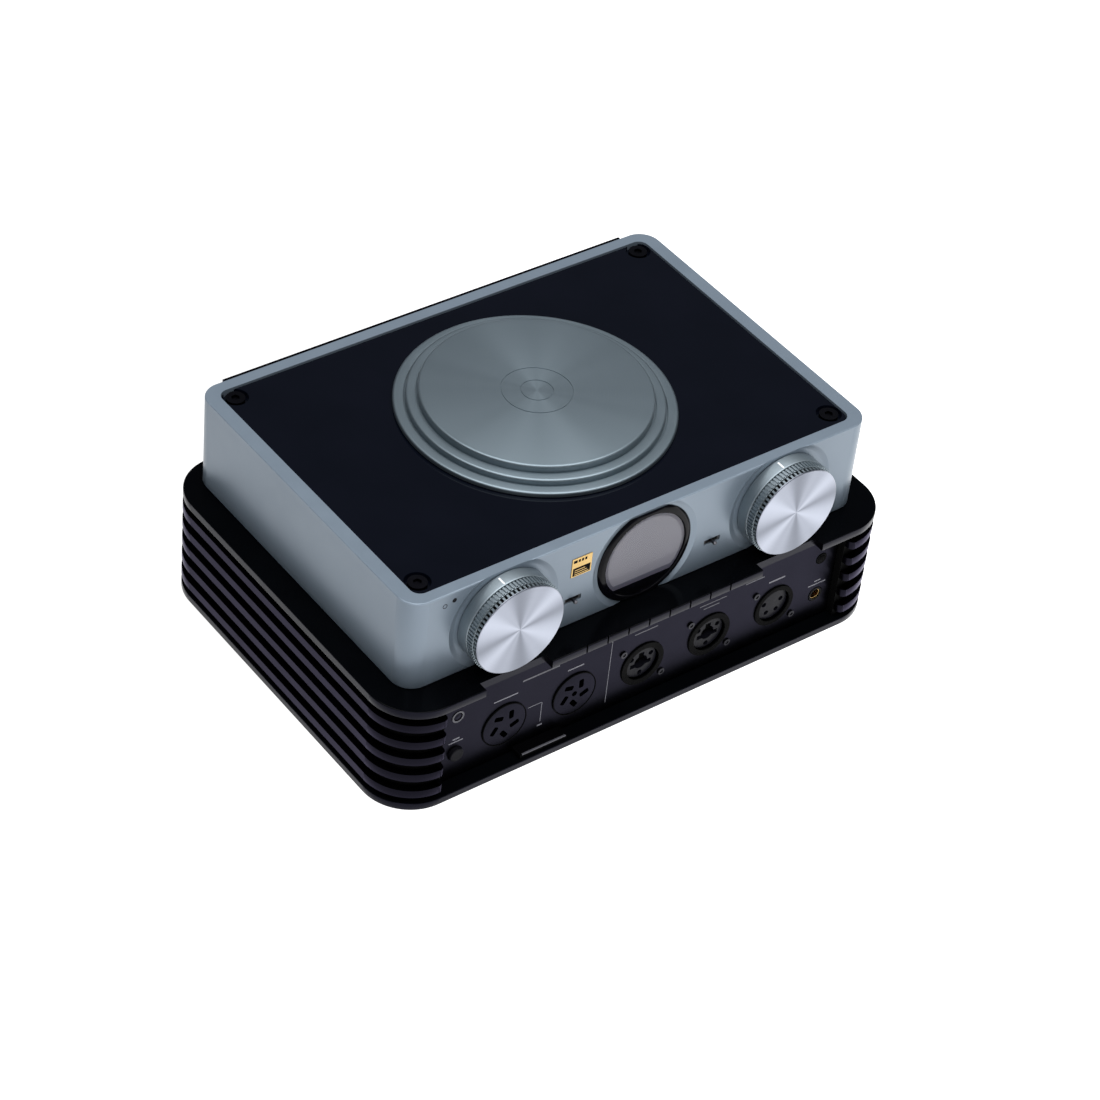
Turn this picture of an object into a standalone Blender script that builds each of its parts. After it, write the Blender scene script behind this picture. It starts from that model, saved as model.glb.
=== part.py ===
"""Two-storey desktop headphone amplifier, modelled in metres with +Z up.

The origin lies under the middle of the whole box, on the surface that the
feet stand on. The front faces -Y. Each sub-part is one closed solid in an
object of its own, and each moving piece hangs on an empty on its joint axis.
"""

import math

import bmesh
import bpy
from mathutils import Matrix, Vector

# Lower unit: deck, base, finned sides and the recessed front and rear panels
FOOT_HEIGHT = 0.0133
LOWER_WIDTH = 0.256
LOWER_DEPTH = 0.1775
LOWER_HEIGHT = 0.0541
LOWER_CORNER = 0.022
BASE_THICKNESS = 0.0035
DECK_THICKNESS = 0.0038
PANEL_RECESS = 0.007
PANEL_INSET = 0.025
PANEL_THICKNESS = 0.003
REAR_REACH = 0.0075

# Fins that wrap round each side of the lower unit
FIN_COUNT = 5
FIN_END_GAP = 0.00335
FIN_HEIGHT = 0.0041
FIN_DEPTH = 0.005
FIN_WALL = 0.003

# Upper unit: aluminium case with an inset top panel and a stepped disc
UPPER_WIDTH = 0.2338
UPPER_DEPTH = 0.1566
UPPER_HEIGHT = 0.0452
UPPER_CORNER = 0.0094
UPPER_SETBACK = 0.0142
CASE_WALL = 0.0035
RIM_SIDE = 0.0065
RIM_END = 0.0055
RIM_CORNER = 0.0045
TOP_PANEL_THICKNESS = 0.0034
TOP_PANEL_DROP = 0.0008
TOP_SHIFT = 0.001
DISC_RADII = (0.0596, 0.0544, 0.0494)
DISC_HEIGHTS = (0.0016, 0.0042, 0.0074)
POST_SIZE = 0.0145
SEAT_STEP = 0.0005

# Controls on the upper front face
KNOB_INSET = 0.0463
KNOB_CLEARANCE = 0.0006
KNOB_RADIUS = 0.0218
CAP_INSET = 0.0006
KNOB_REACH = 0.0115
COLLAR_REACH = 0.0052
GRIP_REACH = 0.0087
KNURL_COUNT = 30
KNURL_DEPTH = 0.0004
SHAFT_RADIUS = 0.003
BUSH_RADIUS = 0.0045
NUT_MARGIN = 0.003
NUT_TOP = 0.0014
POT_RADIUS = 0.0105
POT_BACK = 0.022
DISH_SLOPE = 0.0025
DISH_ROOM = 0.0022
DISH_DEPTH = 0.0012
BEZEL_RIM = 0.0035
BARREL_RIM = 0.0008
BEZEL_TRIM = 0.0012
LENS_RADIUS = 0.0202
LENS_THICKNESS = 0.0015
SCREEN_INSET = 0.0016
LEVER_SPACING = 0.0716
LEVER_DROP = 0.0083
LEVER_SETBACK = 0.0027
LEVER_REACH = 0.0026
STATUS_INSET = 0.0211
STATUS_DROP = 0.0044
STATUS_RADIUS = 0.001
SLOT_WIDTH = 0.0084
SLOT_HEIGHT = 0.0026

# Sockets and controls on the lower front panel
SOCKET_SPACING = 0.0353
SOCKET_HEIGHT = 0.0219
SOCKET_RADIUS = 0.0094
SOCKET_PROUD = 0.0008
SOCKET_RIM = 0.0005
ENERGISER_FLANGE = 0.0014
COMBO_FLANGE = 0.0016
BALANCED_FLANGE = 0.001
SOCKET_LENGTH = 0.021
EDGE_INSET = 0.0085
EDGE_DROP = 0.0126
EDGE_LOWER = 0.0175
BUTTON_RADIUS = 0.0033
BUTTON_REACH = 0.002
BUTTON_STEM = 0.0055
BUTTON_TRAVEL = 0.0015
JACK_RADIUS = 0.0036
JACK_BORE = 0.0022
LIGHT_RADIUS = 0.0027
CARD_X = -0.05295
CARD_WIDTH = 0.024
CARD_LENGTH = 0.032
CARD_THICKNESS = 0.0021
CARD_SETBACK = 0.0012
CARD_LIFT = 0.00045
NOTCH_WIDTH = 0.0328
NOTCH_DEPTH = 0.0044
TICK_COUNT = 8
TICK_PITCH = 0.0106
TICK_WIDTH = 0.001
TICK_DEPTH = 0.0012

# Feet, boards and what stands on them
FOOT_RADIUS = 0.014
FOOT_INSET = 0.03
BOARD_LIFT = 0.006
BOARD_SIDE = 0.008
BOARD_FRONT = 0.0355
BOARD_REAR = 0.026
BOARD_THICKNESS = 0.0016
CORE_SIZE = (0.048, 0.042)
CORE_PLACE = (-0.046, 0.009)
CORE_HEADROOM = 0.0092
CAN_RADIUS = 0.0125
CAN_PLACES = {"capacitor_left": (0.018, 0.012), "capacitor_right": (0.052, 0.012)}
CAN_HEADROOM = 0.0072
UPPER_BOARD_LIFT = 0.005
UPPER_BOARD_SIDE = 0.0319
UPPER_BOARD_FRONT = 0.0433
UPPER_BOARD_REAR = 0.0183
VALVE_SPACING = 0.056
VALVE_SHIFT = 0.02
VALVE_RADIUS = 0.005
VALVE_LENGTH = 0.022
VALVE_SOCKET_RADIUS = 0.009
VALVE_SOCKET_HEIGHT = 0.005

# Rear of both units: place across, radius and kind of each connector
REAR_PLACES = {
    "line_in_left": (-0.07, 0.0105, "plug"),
    "line_in_right": (-0.038, 0.0105, "plug"),
    "rca_in_left": (-0.006, 0.0045, "pin"),
    "rca_in_right": (0.016, 0.0045, "pin"),
    "dc_inlet": (0.066, 0.0055, "inlet"),
}
REAR_PLATE_INSET = 0.0139
REAR_PLATE_THICKNESS = 0.0016
WINDOW_INSET = 0.0269
WINDOW_LOW = 0.008
WINDOW_HIGH = 0.01
VENT_COUNT = 9
VENT_PITCH = 0.016
VENT_WIDTH = 0.01
VENT_HEIGHT = 0.003

# Clearances
GAP = 0.0003
RUNNING_GAP = 0.0004
OVERCUT = 0.002
ROUND_STEPS = 32
SMALL_STEPS = 16
DISC_STEPS = 48
CORNER_STEPS = 6
MERGE = 0.000001

# Places worked out from the sizes
FRONT_Y = -(LOWER_DEPTH + REAR_REACH) / 2
BACK_Y = FRONT_Y + LOWER_DEPTH
LOWER_Y = (FRONT_Y + BACK_Y) / 2
BASE_TOP = FOOT_HEIGHT + BASE_THICKNESS
DECK_TOP = FOOT_HEIGHT + LOWER_HEIGHT
DECK_UNDER = DECK_TOP - DECK_THICKNESS
PANEL_Y = FRONT_Y + PANEL_RECESS
REAR_PANEL_Y = BACK_Y - PANEL_RECESS
UPPER_FRONT = FRONT_Y + UPPER_SETBACK
UPPER_BACK = UPPER_FRONT + UPPER_DEPTH
UPPER_Y = (UPPER_FRONT + UPPER_BACK) / 2
CASE_BOTTOM = DECK_TOP + GAP
CASE_TOP = DECK_TOP + UPPER_HEIGHT
TOP_PANEL_TOP = CASE_TOP - TOP_PANEL_DROP
TOP_PANEL_UNDER = TOP_PANEL_TOP - TOP_PANEL_THICKNESS
PANEL_WIDTH = LOWER_WIDTH - 2 * PANEL_INSET
EDGE_X = PANEL_WIDTH / 2 - EDGE_INSET
EDGE_HIGH_Z = DECK_UNDER - EDGE_DROP
EDGE_LOW_Z = FOOT_HEIGHT + EDGE_LOWER
FIN_PITCH = (DECK_UNDER - BASE_TOP - FIN_HEIGHT - 2 * FIN_END_GAP) / (FIN_COUNT - 1)
KNOB_X = UPPER_WIDTH / 2 - KNOB_INSET
KNOB_Z = DECK_TOP + KNOB_RADIUS + KNOB_CLEARANCE
CAP_RADIUS = KNOB_RADIUS - CAP_INSET
NUT_RADIUS = BUSH_RADIUS + NUT_MARGIN
DISPLAY_Z = DECK_TOP + UPPER_HEIGHT / 2 - 0.0002
BEZEL_RADIUS = LENS_RADIUS + BEZEL_RIM
BEZEL_BARREL = LENS_RADIUS + BARREL_RIM
SCREEN_RADIUS = LENS_RADIUS - SCREEN_INSET
LEVER_X = LEVER_SPACING / 2
LEVER_PIVOT = CASE_WALL + LEVER_SETBACK
LEVER_Z = DISPLAY_Z - LEVER_DROP
STATUS_X = STATUS_INSET - UPPER_WIDTH / 2
STATUS_Z = CASE_TOP - STATUS_DROP
SOCKET_Z = FOOT_HEIGHT + SOCKET_HEIGHT
CARD_Z = BASE_TOP + CARD_LIFT + CARD_THICKNESS / 2
BOARD_Z = BASE_TOP + BOARD_LIFT
UPPER_BOARD_Z = DECK_TOP + UPPER_BOARD_LIFT

PARTS = "headphone_amplifier"
CUTTERS = "cutters"


def clear_scene():
    """Remove every object, so the script can be run again."""
    for item in list(bpy.data.objects):
        bpy.data.objects.remove(item, do_unlink=True)


def collection(name):
    """Return the named collection, linked to the scene."""
    found = bpy.data.collections.get(name)
    if found is None:
        found = bpy.data.collections.new(name)
        bpy.context.scene.collection.children.link(found)
    return found


def finish(name, colour, metallic, roughness):
    """Make a Principled material."""
    made = bpy.data.materials.new(name)
    made.use_nodes = True
    shader = made.node_tree.nodes["Principled BSDF"]
    shader.inputs["Base Color"].default_value = (*colour, 1.0)
    shader.inputs["Metallic"].default_value = metallic
    shader.inputs["Roughness"].default_value = roughness
    return made


def axis_empty(name, place):
    """Make an empty on a joint axis."""
    made = bpy.data.objects.new(name, None)
    made.location = place
    made.empty_display_size = 0.01
    collection(PARTS).objects.link(made)
    return made


def move_to(item, name):
    """Move an object to the named collection."""
    for home in list(item.users_collection):
        home.objects.unlink(item)
    collection(name).objects.link(item)


def place(item, made_finish, parent=None):
    """Put a finished sub-part in the parts collection."""
    move_to(item, PARTS)
    item.data.materials.clear()
    item.data.materials.append(made_finish)
    item.parent = parent
    return item


def mesh_object(name, mesh_data):
    """Make an object from a bmesh."""
    mesh = bpy.data.meshes.new(name)
    mesh_data.to_mesh(mesh)
    mesh_data.free()
    made = bpy.data.objects.new(name, mesh)
    bpy.context.scene.collection.objects.link(made)
    return made


def block(name, low, high):
    """Make a box between two corners."""
    size = [b - a for a, b in zip(low, high)]
    centre = [(a + b) / 2 for a, b in zip(low, high)]
    data = bmesh.new()
    where = Matrix.Translation(centre) @ Matrix.Diagonal((*size, 1.0))
    bmesh.ops.create_cube(data, size=1.0, matrix=where)
    return mesh_object(name, data)


def rounded_block(name, low, high, radius, steps=CORNER_STEPS):
    """Make a box with its four upright edges rounded."""
    made = block(name, low, high)
    data = bmesh.new()
    data.from_mesh(made.data)
    upright = [e for e in data.edges if abs(e.verts[0].co.z - e.verts[1].co.z) > MERGE]
    bmesh.ops.bevel(data, geom=upright, offset=radius, segments=steps, affect="EDGES", profile=0.5)
    data.to_mesh(made.data)
    data.free()
    return made


def rod(name, radius, low, high, steps=SMALL_STEPS, place_at=(0.0, 0.0)):
    """Make an upright cylinder between two heights."""
    data = bmesh.new()
    centre = Matrix.Translation((*place_at, (low + high) / 2))
    bmesh.ops.create_cone(
        data, cap_ends=True, segments=steps, radius1=radius, radius2=radius, depth=high - low, matrix=centre
    )
    return mesh_object(name, data)


def frozen(item):
    """Return the item with its modifiers applied and its points merged."""
    item.update_tag()
    bpy.context.view_layer.update()
    graph = bpy.context.evaluated_depsgraph_get()
    mesh = bpy.data.meshes.new_from_object(item.evaluated_get(graph))
    data = bmesh.new()
    data.from_mesh(mesh)
    bmesh.ops.remove_doubles(data, verts=data.verts, dist=MERGE)
    data.to_mesh(mesh)
    data.free()
    item.modifiers.clear()
    item.data = mesh
    return item


def face_outwards(item):
    """Turn every face of a closed body outwards."""
    data = bmesh.new()
    data.from_mesh(item.data)
    bmesh.ops.recalc_face_normals(data, faces=data.faces)
    data.to_mesh(item.data)
    data.free()


def turned(name, profile, steps=ROUND_STEPS):
    """Turn a closed profile of (radius, height) points about Z, top to bottom on its outer side."""
    mesh = bpy.data.meshes.new(name)
    points = [(radius, 0.0, height) for radius, height in profile]
    count = len(points)
    touches_axis = profile[0][0] == 0.0
    links = [(i, i + 1) for i in range(count - 1)]
    if not touches_axis:
        links.append((count - 1, 0))
    mesh.from_pydata(points, links, [])
    made = bpy.data.objects.new(name, mesh)
    bpy.context.scene.collection.objects.link(made)
    screw = made.modifiers.new("turn", "SCREW")
    screw.axis = "Z"
    screw.steps = steps
    screw.render_steps = steps
    screw.use_merge_vertices = True
    screw.merge_threshold = MERGE
    made = frozen(made)
    face_outwards(made)
    made.data.shade_smooth()
    made.data.set_sharp_from_angle(angle=math.radians(30))
    return made


def disc_profile(radius, low, high):
    """Profile of a plain turned disc."""
    return [(0.0, high), (radius, high), (radius, low), (0.0, low)]


def moved(item, matrix):
    """Turn or shift a mesh inside its object."""
    item.data.transform(matrix)
    return item


def facing(x, y, z, to_back=False):
    """Matrix that stands an upright piece on the front or rear face at a point."""
    turn = Matrix.Rotation(math.radians(-90 if to_back else 90), 4, "X")
    return Matrix.Translation((x, y, z)) @ turn


def boolean(target, tools, operation):
    """Cut the tools from the target, or join them to it."""
    for tool in tools:
        move_to(tool, CUTTERS)
        tool.hide_render = True
        tool.display_type = "WIRE"
        step = target.modifiers.new(operation.lower(), "BOOLEAN")
        step.operation = operation
        step.solver = "EXACT"
        step.object = tool
    return frozen(target)


def cut(target, tools):
    """Cut the tools away from the target."""
    return boolean(target, tools, "DIFFERENCE")


def join(target, tools):
    """Join the tools to the target in one body."""
    return boolean(target, tools, "UNION")


def make_finishes():
    """All the finishes, by name."""
    return {
        "case": finish("satin_aluminium", (0.25, 0.29, 0.33), 1.0, 0.38),
        "bright": finish("bright_aluminium", (0.72, 0.73, 0.78), 1.0, 0.22),
        "collar": finish("grey_aluminium", (0.14, 0.17, 0.19), 1.0, 0.35),
        "gloss": finish("gloss_black", (0.006, 0.007, 0.009), 0.0, 0.08),
        "black": finish("satin_black_metal", (0.03, 0.03, 0.038), 0.6, 0.42),
        "plastic": finish("black_plastic", (0.02, 0.02, 0.022), 0.0, 0.5),
        "glass": finish("glass", (0.2, 0.19, 0.22), 0.0, 0.05),
        "screen": finish("screen", (0.2, 0.19, 0.23), 0.0, 0.3),
        "steel": finish("steel", (0.5, 0.5, 0.52), 1.0, 0.3),
        "gold": finish("gold_plate", (0.8, 0.62, 0.3), 1.0, 0.2),
        "board": finish("board", (0.02, 0.09, 0.04), 0.0, 0.55),
        "rubber": finish("rubber", (0.015, 0.015, 0.016), 0.0, 0.8),
        "iron": finish("iron_core", (0.12, 0.12, 0.13), 0.8, 0.5),
    }


def plate_outline(name, low_z, high_z):
    """A plate with the lower unit's outline."""
    half = LOWER_WIDTH / 2
    return rounded_block(name, (-half, FRONT_Y, low_z), (half, BACK_Y, high_z), LOWER_CORNER)


def make_base(finishes):
    """Base plate under the lower unit."""
    place(plate_outline("base_plate", FOOT_HEIGHT, BASE_TOP), finishes["black"])


def make_deck(finishes):
    """Deck between the units, notched in front under each knob."""
    deck = plate_outline("deck_plate", DECK_UNDER, DECK_TOP)
    low_z = DECK_UNDER - OVERCUT
    high_z = DECK_TOP + OVERCUT
    tools = []
    for side in (-1, 1):
        middle = side * KNOB_X
        half = NOTCH_WIDTH / 2
        low = (middle - half, FRONT_Y - OVERCUT, low_z)
        high = (middle + half, FRONT_Y + NOTCH_DEPTH, high_z)
        tools.append(block("knob_notch", low, high))
    for index in range(TICK_COUNT):
        middle = (index - (TICK_COUNT - 1) / 2) * TICK_PITCH
        low = (middle - TICK_WIDTH / 2, FRONT_Y - OVERCUT, low_z)
        high = (middle + TICK_WIDTH / 2, FRONT_Y + TICK_DEPTH, high_z)
        tools.append(block("deck_tick", low, high))
    tools.append(block("cable_way", (-0.012, UPPER_Y - 0.01, low_z), (0.012, UPPER_Y + 0.01, high_z)))
    place(cut(deck, tools), finishes["black"])


def wrap_route(side):
    """Route of a fin wrap round one side, front end to rear end, on the lower unit's outline."""
    half = LOWER_WIDTH / 2
    end_x = PANEL_WIDTH / 2 + GAP
    route = [(end_x, FRONT_Y)]
    centre_x = half - LOWER_CORNER
    for centre_y, start in ((FRONT_Y + LOWER_CORNER, -90), (BACK_Y - LOWER_CORNER, 0)):
        for step in range(CORNER_STEPS + 1):
            angle = math.radians(start + 90 * step / CORNER_STEPS)
            route.append((centre_x + LOWER_CORNER * math.cos(angle), centre_y + LOWER_CORNER * math.sin(angle)))
    route.append((end_x, BACK_Y))
    return [(side * x, y) for x, y in route]


def fin_profile():
    """Section of the finned wall: depth inwards from the outline, and height."""
    low = BASE_TOP + GAP
    high = DECK_UNDER - GAP
    floor = FIN_DEPTH
    points = [(floor, low)]
    middle = (BASE_TOP + DECK_UNDER) / 2
    for index in range(FIN_COUNT):
        centre = middle + (index - (FIN_COUNT - 1) / 2) * FIN_PITCH
        bottom = centre - FIN_HEIGHT / 2
        top = centre + FIN_HEIGHT / 2
        points += [(floor, bottom), (0.0, bottom), (0.0, top), (floor, top)]
    points += [(floor, high), (floor + FIN_WALL, high), (floor + FIN_WALL, low)]
    return points


def inward_normals(route):
    """Mitred inward offsets at each point of the route."""
    normals = []
    last = len(route) - 1
    centre = Vector((0.0, LOWER_Y))
    for index, point in enumerate(route):
        before = Vector(route[max(index - 1, 0)])
        after = Vector(route[min(index + 1, last)])
        here = Vector(point)
        first = (here - before).normalized() if index > 0 else (after - here).normalized()
        second = (after - here).normalized() if index < last else first
        along = (first + second).normalized()
        across = Vector((-along.y, along.x))
        if across.dot(centre - here) < 0:
            across.negate()
        normals.append(across / max(along.dot(second), 0.5))
    return normals


def make_fin_wrap(name, side, made_finish):
    """Finned wall that wraps round one side, lofted along its route."""
    route = wrap_route(side)
    profile = fin_profile()
    normals = inward_normals(route)
    data = bmesh.new()
    rings = []
    for (x, y), normal in zip(route, normals):
        places = [(x + normal.x * depth, y + normal.y * depth, z) for depth, z in profile]
        rings.append([data.verts.new(spot) for spot in places])
    count = len(profile)
    for first, second in zip(rings, rings[1:]):
        for index in range(count):
            after = (index + 1) % count
            data.faces.new((first[index], first[after], second[after], second[index]))
    data.faces.new(rings[0])
    data.faces.new(list(reversed(rings[-1])))
    bmesh.ops.recalc_face_normals(data, faces=data.faces)
    place(mesh_object(name, data), made_finish)


def make_feet(finishes):
    """Four round rubber feet under the base plate."""
    inset_x = LOWER_WIDTH / 2 - FOOT_INSET
    inset_y = LOWER_DEPTH / 2 - FOOT_INSET
    top = FOOT_HEIGHT - GAP
    profile = [(0.0, top), (FOOT_RADIUS, top), (FOOT_RADIUS, 0.004), (FOOT_RADIUS - 0.0015, 0.0), (0.0, 0.0)]
    for end_name, end in (("front", -1), ("rear", 1)):
        for side_name, side in (("left", -1), ("right", 1)):
            foot = turned(f"foot_{end_name}_{side_name}", profile, 24)
            moved(foot, Matrix.Translation((side * inset_x, LOWER_Y + end * inset_y, 0.0)))
            place(foot, finishes["rubber"])


def front_hole(radius, x, z, steps=ROUND_STEPS):
    """Round cutter through the lower front panel."""
    tool = rod("front_hole", radius, -PANEL_THICKNESS - OVERCUT, OVERCUT, steps)
    return moved(tool, facing(x, PANEL_Y, z))


def make_front_panel(finishes):
    """Recessed front panel of the lower unit, with a hole for each socket and control."""
    half = PANEL_WIDTH / 2
    low = (-half, PANEL_Y, BASE_TOP + GAP)
    high = (half, PANEL_Y + PANEL_THICKNESS, DECK_UNDER - GAP)
    panel = block("front_panel", low, high)
    tools = [front_hole(SOCKET_RADIUS + GAP, slot * SOCKET_SPACING, SOCKET_Z) for slot in (-2, -1, 0, 1, 2)]
    for radius, x, z in (
        (LIGHT_RADIUS + GAP, -EDGE_X, EDGE_HIGH_Z),
        (BUTTON_RADIUS + RUNNING_GAP, -EDGE_X, EDGE_LOW_Z),
        (LIGHT_RADIUS + GAP, EDGE_X, EDGE_HIGH_Z),
        (JACK_RADIUS + GAP, EDGE_X, EDGE_LOW_Z),
    ):
        tools.append(front_hole(radius, x, z, SMALL_STEPS))
    half_card = CARD_WIDTH / 2 + RUNNING_GAP
    slot_top = CARD_Z + CARD_THICKNESS / 2 + RUNNING_GAP
    low = (CARD_X - half_card, PANEL_Y - OVERCUT, BASE_TOP - OVERCUT)
    high = (CARD_X + half_card, PANEL_Y + PANEL_THICKNESS + OVERCUT, slot_top)
    tools.append(block("card_notch", low, high))
    place(cut(panel, tools), finishes["black"])


def socket_body(name, flange, groove, holes, x, made_finish):
    """Round socket: flange on the panel, body through it, a ring groove and blind pin holes."""
    face = SOCKET_PROUD
    back = -SOCKET_LENGTH
    width, depth = groove
    outer = SOCKET_RADIUS - SOCKET_RIM
    inner = outer - width
    flange_radius = SOCKET_RADIUS + flange
    profile = [(0.0, face), (inner, face), (inner, face - depth), (outer, face - depth), (outer, face)]
    profile += [(flange_radius, face), (flange_radius, GAP), (SOCKET_RADIUS, GAP), (SOCKET_RADIUS, back)]
    profile.append((0.0, back))
    body = turned(name, profile)
    tools = []
    for radius, distance, angle in holes:
        turn = math.radians(angle)
        spot = (distance * math.sin(turn), distance * math.cos(turn))
        tools.append(rod("pin_hole", radius, face - 0.009, face + OVERCUT, 10, spot))
    cut(body, tools)
    moved(body, facing(x, PANEL_Y, SOCKET_Z))
    place(body, made_finish)


def make_front_sockets(finishes):
    """Five round headphone sockets in a row."""
    groove = (0.0003, 0.0006)
    ring = [(0.0013, 0.0052, angle) for angle in (36, 108, 180, 252, 324)]
    left = -2 * SOCKET_SPACING
    socket_body("energiser_socket_left", ENERGISER_FLANGE, groove, ring, left, finishes["black"])
    ring_six = ring + [(0.0013, 0.0, 0)]
    socket_body("energiser_socket_right", ENERGISER_FLANGE, groove, ring_six, left / 2, finishes["black"])
    groove = (0.0012, 0.0045)
    pins = [(0.0033, 0.0, 0)] + [(0.0011, 0.0056, angle) for angle in (60, 180, 300)]
    socket_body("combo_socket_left", COMBO_FLANGE, groove, pins, 0.0, finishes["black"])
    socket_body("combo_socket_right", COMBO_FLANGE, groove, pins, SOCKET_SPACING, finishes["black"])
    pins = [(0.0011, 0.005, angle) for angle in (78, 145, 215, 282)]
    socket_body("balanced_socket", BALANCED_FLANGE, groove, pins, 2 * SOCKET_SPACING, finishes["black"])


def make_edge_controls(finishes):
    """Small jack, lights and push button at the ends of the front panel."""
    jack = [(0.0, -0.013), (JACK_BORE, -0.013), (JACK_BORE, GAP), (JACK_RADIUS, GAP)]
    jack += [(JACK_RADIUS, -0.016), (0.0, -0.016)]
    sleeve = turned("balanced_jack", jack, SMALL_STEPS)
    place(moved(sleeve, facing(EDGE_X, PANEL_Y, EDGE_LOW_Z)), finishes["gold"])
    lens = [(0.0, 0.0002), (LIGHT_RADIUS * 0.6, 0.0), (LIGHT_RADIUS, -0.0006)]
    lens += [(LIGHT_RADIUS, -0.008), (0.0, -0.008)]
    window = turned("remote_window", lens, SMALL_STEPS)
    place(moved(window, facing(EDGE_X, PANEL_Y, EDGE_HIGH_Z)), finishes["plastic"])
    light = turned("power_light", lens, SMALL_STEPS)
    place(moved(light, facing(-EDGE_X, PANEL_Y, EDGE_HIGH_Z)), finishes["glass"])


def make_power_button(finishes):
    """Push button on its slide axis, and the switch behind it."""
    axis = axis_empty("power_button_axis", (-EDGE_X, PANEL_Y, EDGE_LOW_Z))
    chamfer = 0.0004
    face = BUTTON_REACH
    shape = [(0.0, face), (BUTTON_RADIUS - chamfer, face), (BUTTON_RADIUS, face - chamfer)]
    shape += [(BUTTON_RADIUS, -BUTTON_STEM), (0.0, -BUTTON_STEM)]
    button = moved(turned("power_button", shape, SMALL_STEPS), facing(0.0, 0.0, 0.0))
    place(button, finishes["plastic"], axis)
    start = PANEL_Y + BUTTON_STEM + BUTTON_TRAVEL + GAP
    half = 0.005
    low = (-EDGE_X - half, start, EDGE_LOW_Z - half)
    high = (-EDGE_X + half, start + 0.009, EDGE_LOW_Z + half)
    place(block("power_switch", low, high), finishes["plastic"])


def make_card(finishes):
    """Slide-in bias card and the guide that holds it."""
    card_y = FRONT_Y + CARD_SETBACK
    half = CARD_WIDTH / 2
    axis = axis_empty("bias_card_axis", (CARD_X, card_y, CARD_Z))
    low = (-half, 0.0, -CARD_THICKNESS / 2)
    high = (half, CARD_LENGTH, CARD_THICKNESS / 2)
    place(block("bias_card", low, high), finishes["plastic"], axis)
    guide_start = PANEL_Y + PANEL_THICKNESS + GAP
    guide_end = card_y + CARD_LENGTH + RUNNING_GAP + 0.002
    roof = CARD_Z + CARD_THICKNESS / 2 + RUNNING_GAP
    low = (CARD_X - half - 0.003, guide_start, BASE_TOP + GAP)
    high = (CARD_X + half + 0.003, guide_end, roof + 0.0008)
    guide = block("card_slot", low, high)
    low = (CARD_X - half - RUNNING_GAP, guide_start - OVERCUT, BASE_TOP - OVERCUT)
    high = (CARD_X + half + RUNNING_GAP, card_y + CARD_LENGTH + RUNNING_GAP, roof)
    place(cut(guide, [block("card_way", low, high)]), finishes["plastic"])


def make_lower_inside(finishes):
    """Main board with its transformer and storage capacitors."""
    top = BOARD_Z + BOARD_THICKNESS
    half = PANEL_WIDTH / 2 - BOARD_SIDE
    low = (-half, PANEL_Y + BOARD_FRONT, BOARD_Z)
    high = (half, REAR_PANEL_Y - BOARD_REAR, top)
    place(block("main_board", low, high), finishes["board"])
    low = [middle - size / 2 for middle, size in zip(CORE_PLACE, CORE_SIZE)]
    high = [middle + size / 2 for middle, size in zip(CORE_PLACE, CORE_SIZE)]
    core = block("bias_transformer", (*low, top + GAP), (*high, DECK_UNDER - CORE_HEADROOM))
    place(core, finishes["iron"])
    for name, spot in CAN_PLACES.items():
        can = turned(name, disc_profile(CAN_RADIUS, top + GAP, DECK_UNDER - CAN_HEADROOM), 24)
        moved(can, Matrix.Translation((*spot, 0.0)))
        place(can, finishes["plastic"])


def make_rear(finishes):
    """Recessed rear panel with the input connectors and the supply inlet."""
    half = PANEL_WIDTH / 2
    low = (-half, REAR_PANEL_Y - PANEL_THICKNESS, BASE_TOP + GAP)
    high = (half, REAR_PANEL_Y, DECK_UNDER - GAP)
    panel = block("lower_rear_panel", low, high)
    tools = []
    for x, radius, _kind in REAR_PLACES.values():
        tool = rod("rear_hole", radius - 0.001 + GAP, -PANEL_THICKNESS - OVERCUT, OVERCUT, 24)
        tools.append(moved(tool, facing(x, REAR_PANEL_Y, SOCKET_Z, True)))
    place(cut(panel, tools), finishes["black"])
    reach = PANEL_RECESS + REAR_REACH
    for name, (x, radius, kind) in REAR_PLACES.items():
        barrel = radius - 0.001
        if kind == "pin":
            shape = [(0.0, 0.004), (0.0016, 0.004), (0.0016, reach), (radius - 0.0008, reach)]
            shape += [(radius - 0.0008, 0.002), (radius, 0.002), (radius, GAP), (barrel, GAP)]
            shape += [(barrel, -0.012), (0.0, -0.012)]
        else:
            floor = -0.006
            core = radius * (0.75 if kind == "plug" else 0.3)
            shape = [(0.0, 0.0), (core, 0.0), (core, floor), (barrel - 0.001, floor), (barrel - 0.001, 0.0015)]
            shape += [(radius, 0.0015), (radius, GAP), (barrel, GAP), (barrel, -0.018), (0.0, -0.018)]
        body = moved(turned(name, shape, 24), facing(x, REAR_PANEL_Y, SOCKET_Z, True))
        place(body, finishes["steel"] if kind == "pin" else finishes["plastic"])


def dish_cutter(x, z, floor_radius):
    """Shallow dish in the upper front face round a control."""
    slope = DISH_SLOPE / DISH_DEPTH
    rim = floor_radius + DISH_SLOPE + slope * OVERCUT
    shape = [(0.0, OVERCUT), (rim, OVERCUT), (floor_radius, -DISH_DEPTH), (0.0, -DISH_DEPTH)]
    return moved(turned("dish", shape), facing(x, UPPER_FRONT, z))


def case_hole(radius, x, z, steps=ROUND_STEPS):
    """Round cutter through the front wall of the upper case."""
    tool = rod("case_hole", radius, -RIM_END - OVERCUT, OVERCUT, steps)
    return moved(tool, facing(x, UPPER_FRONT, z))


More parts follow.
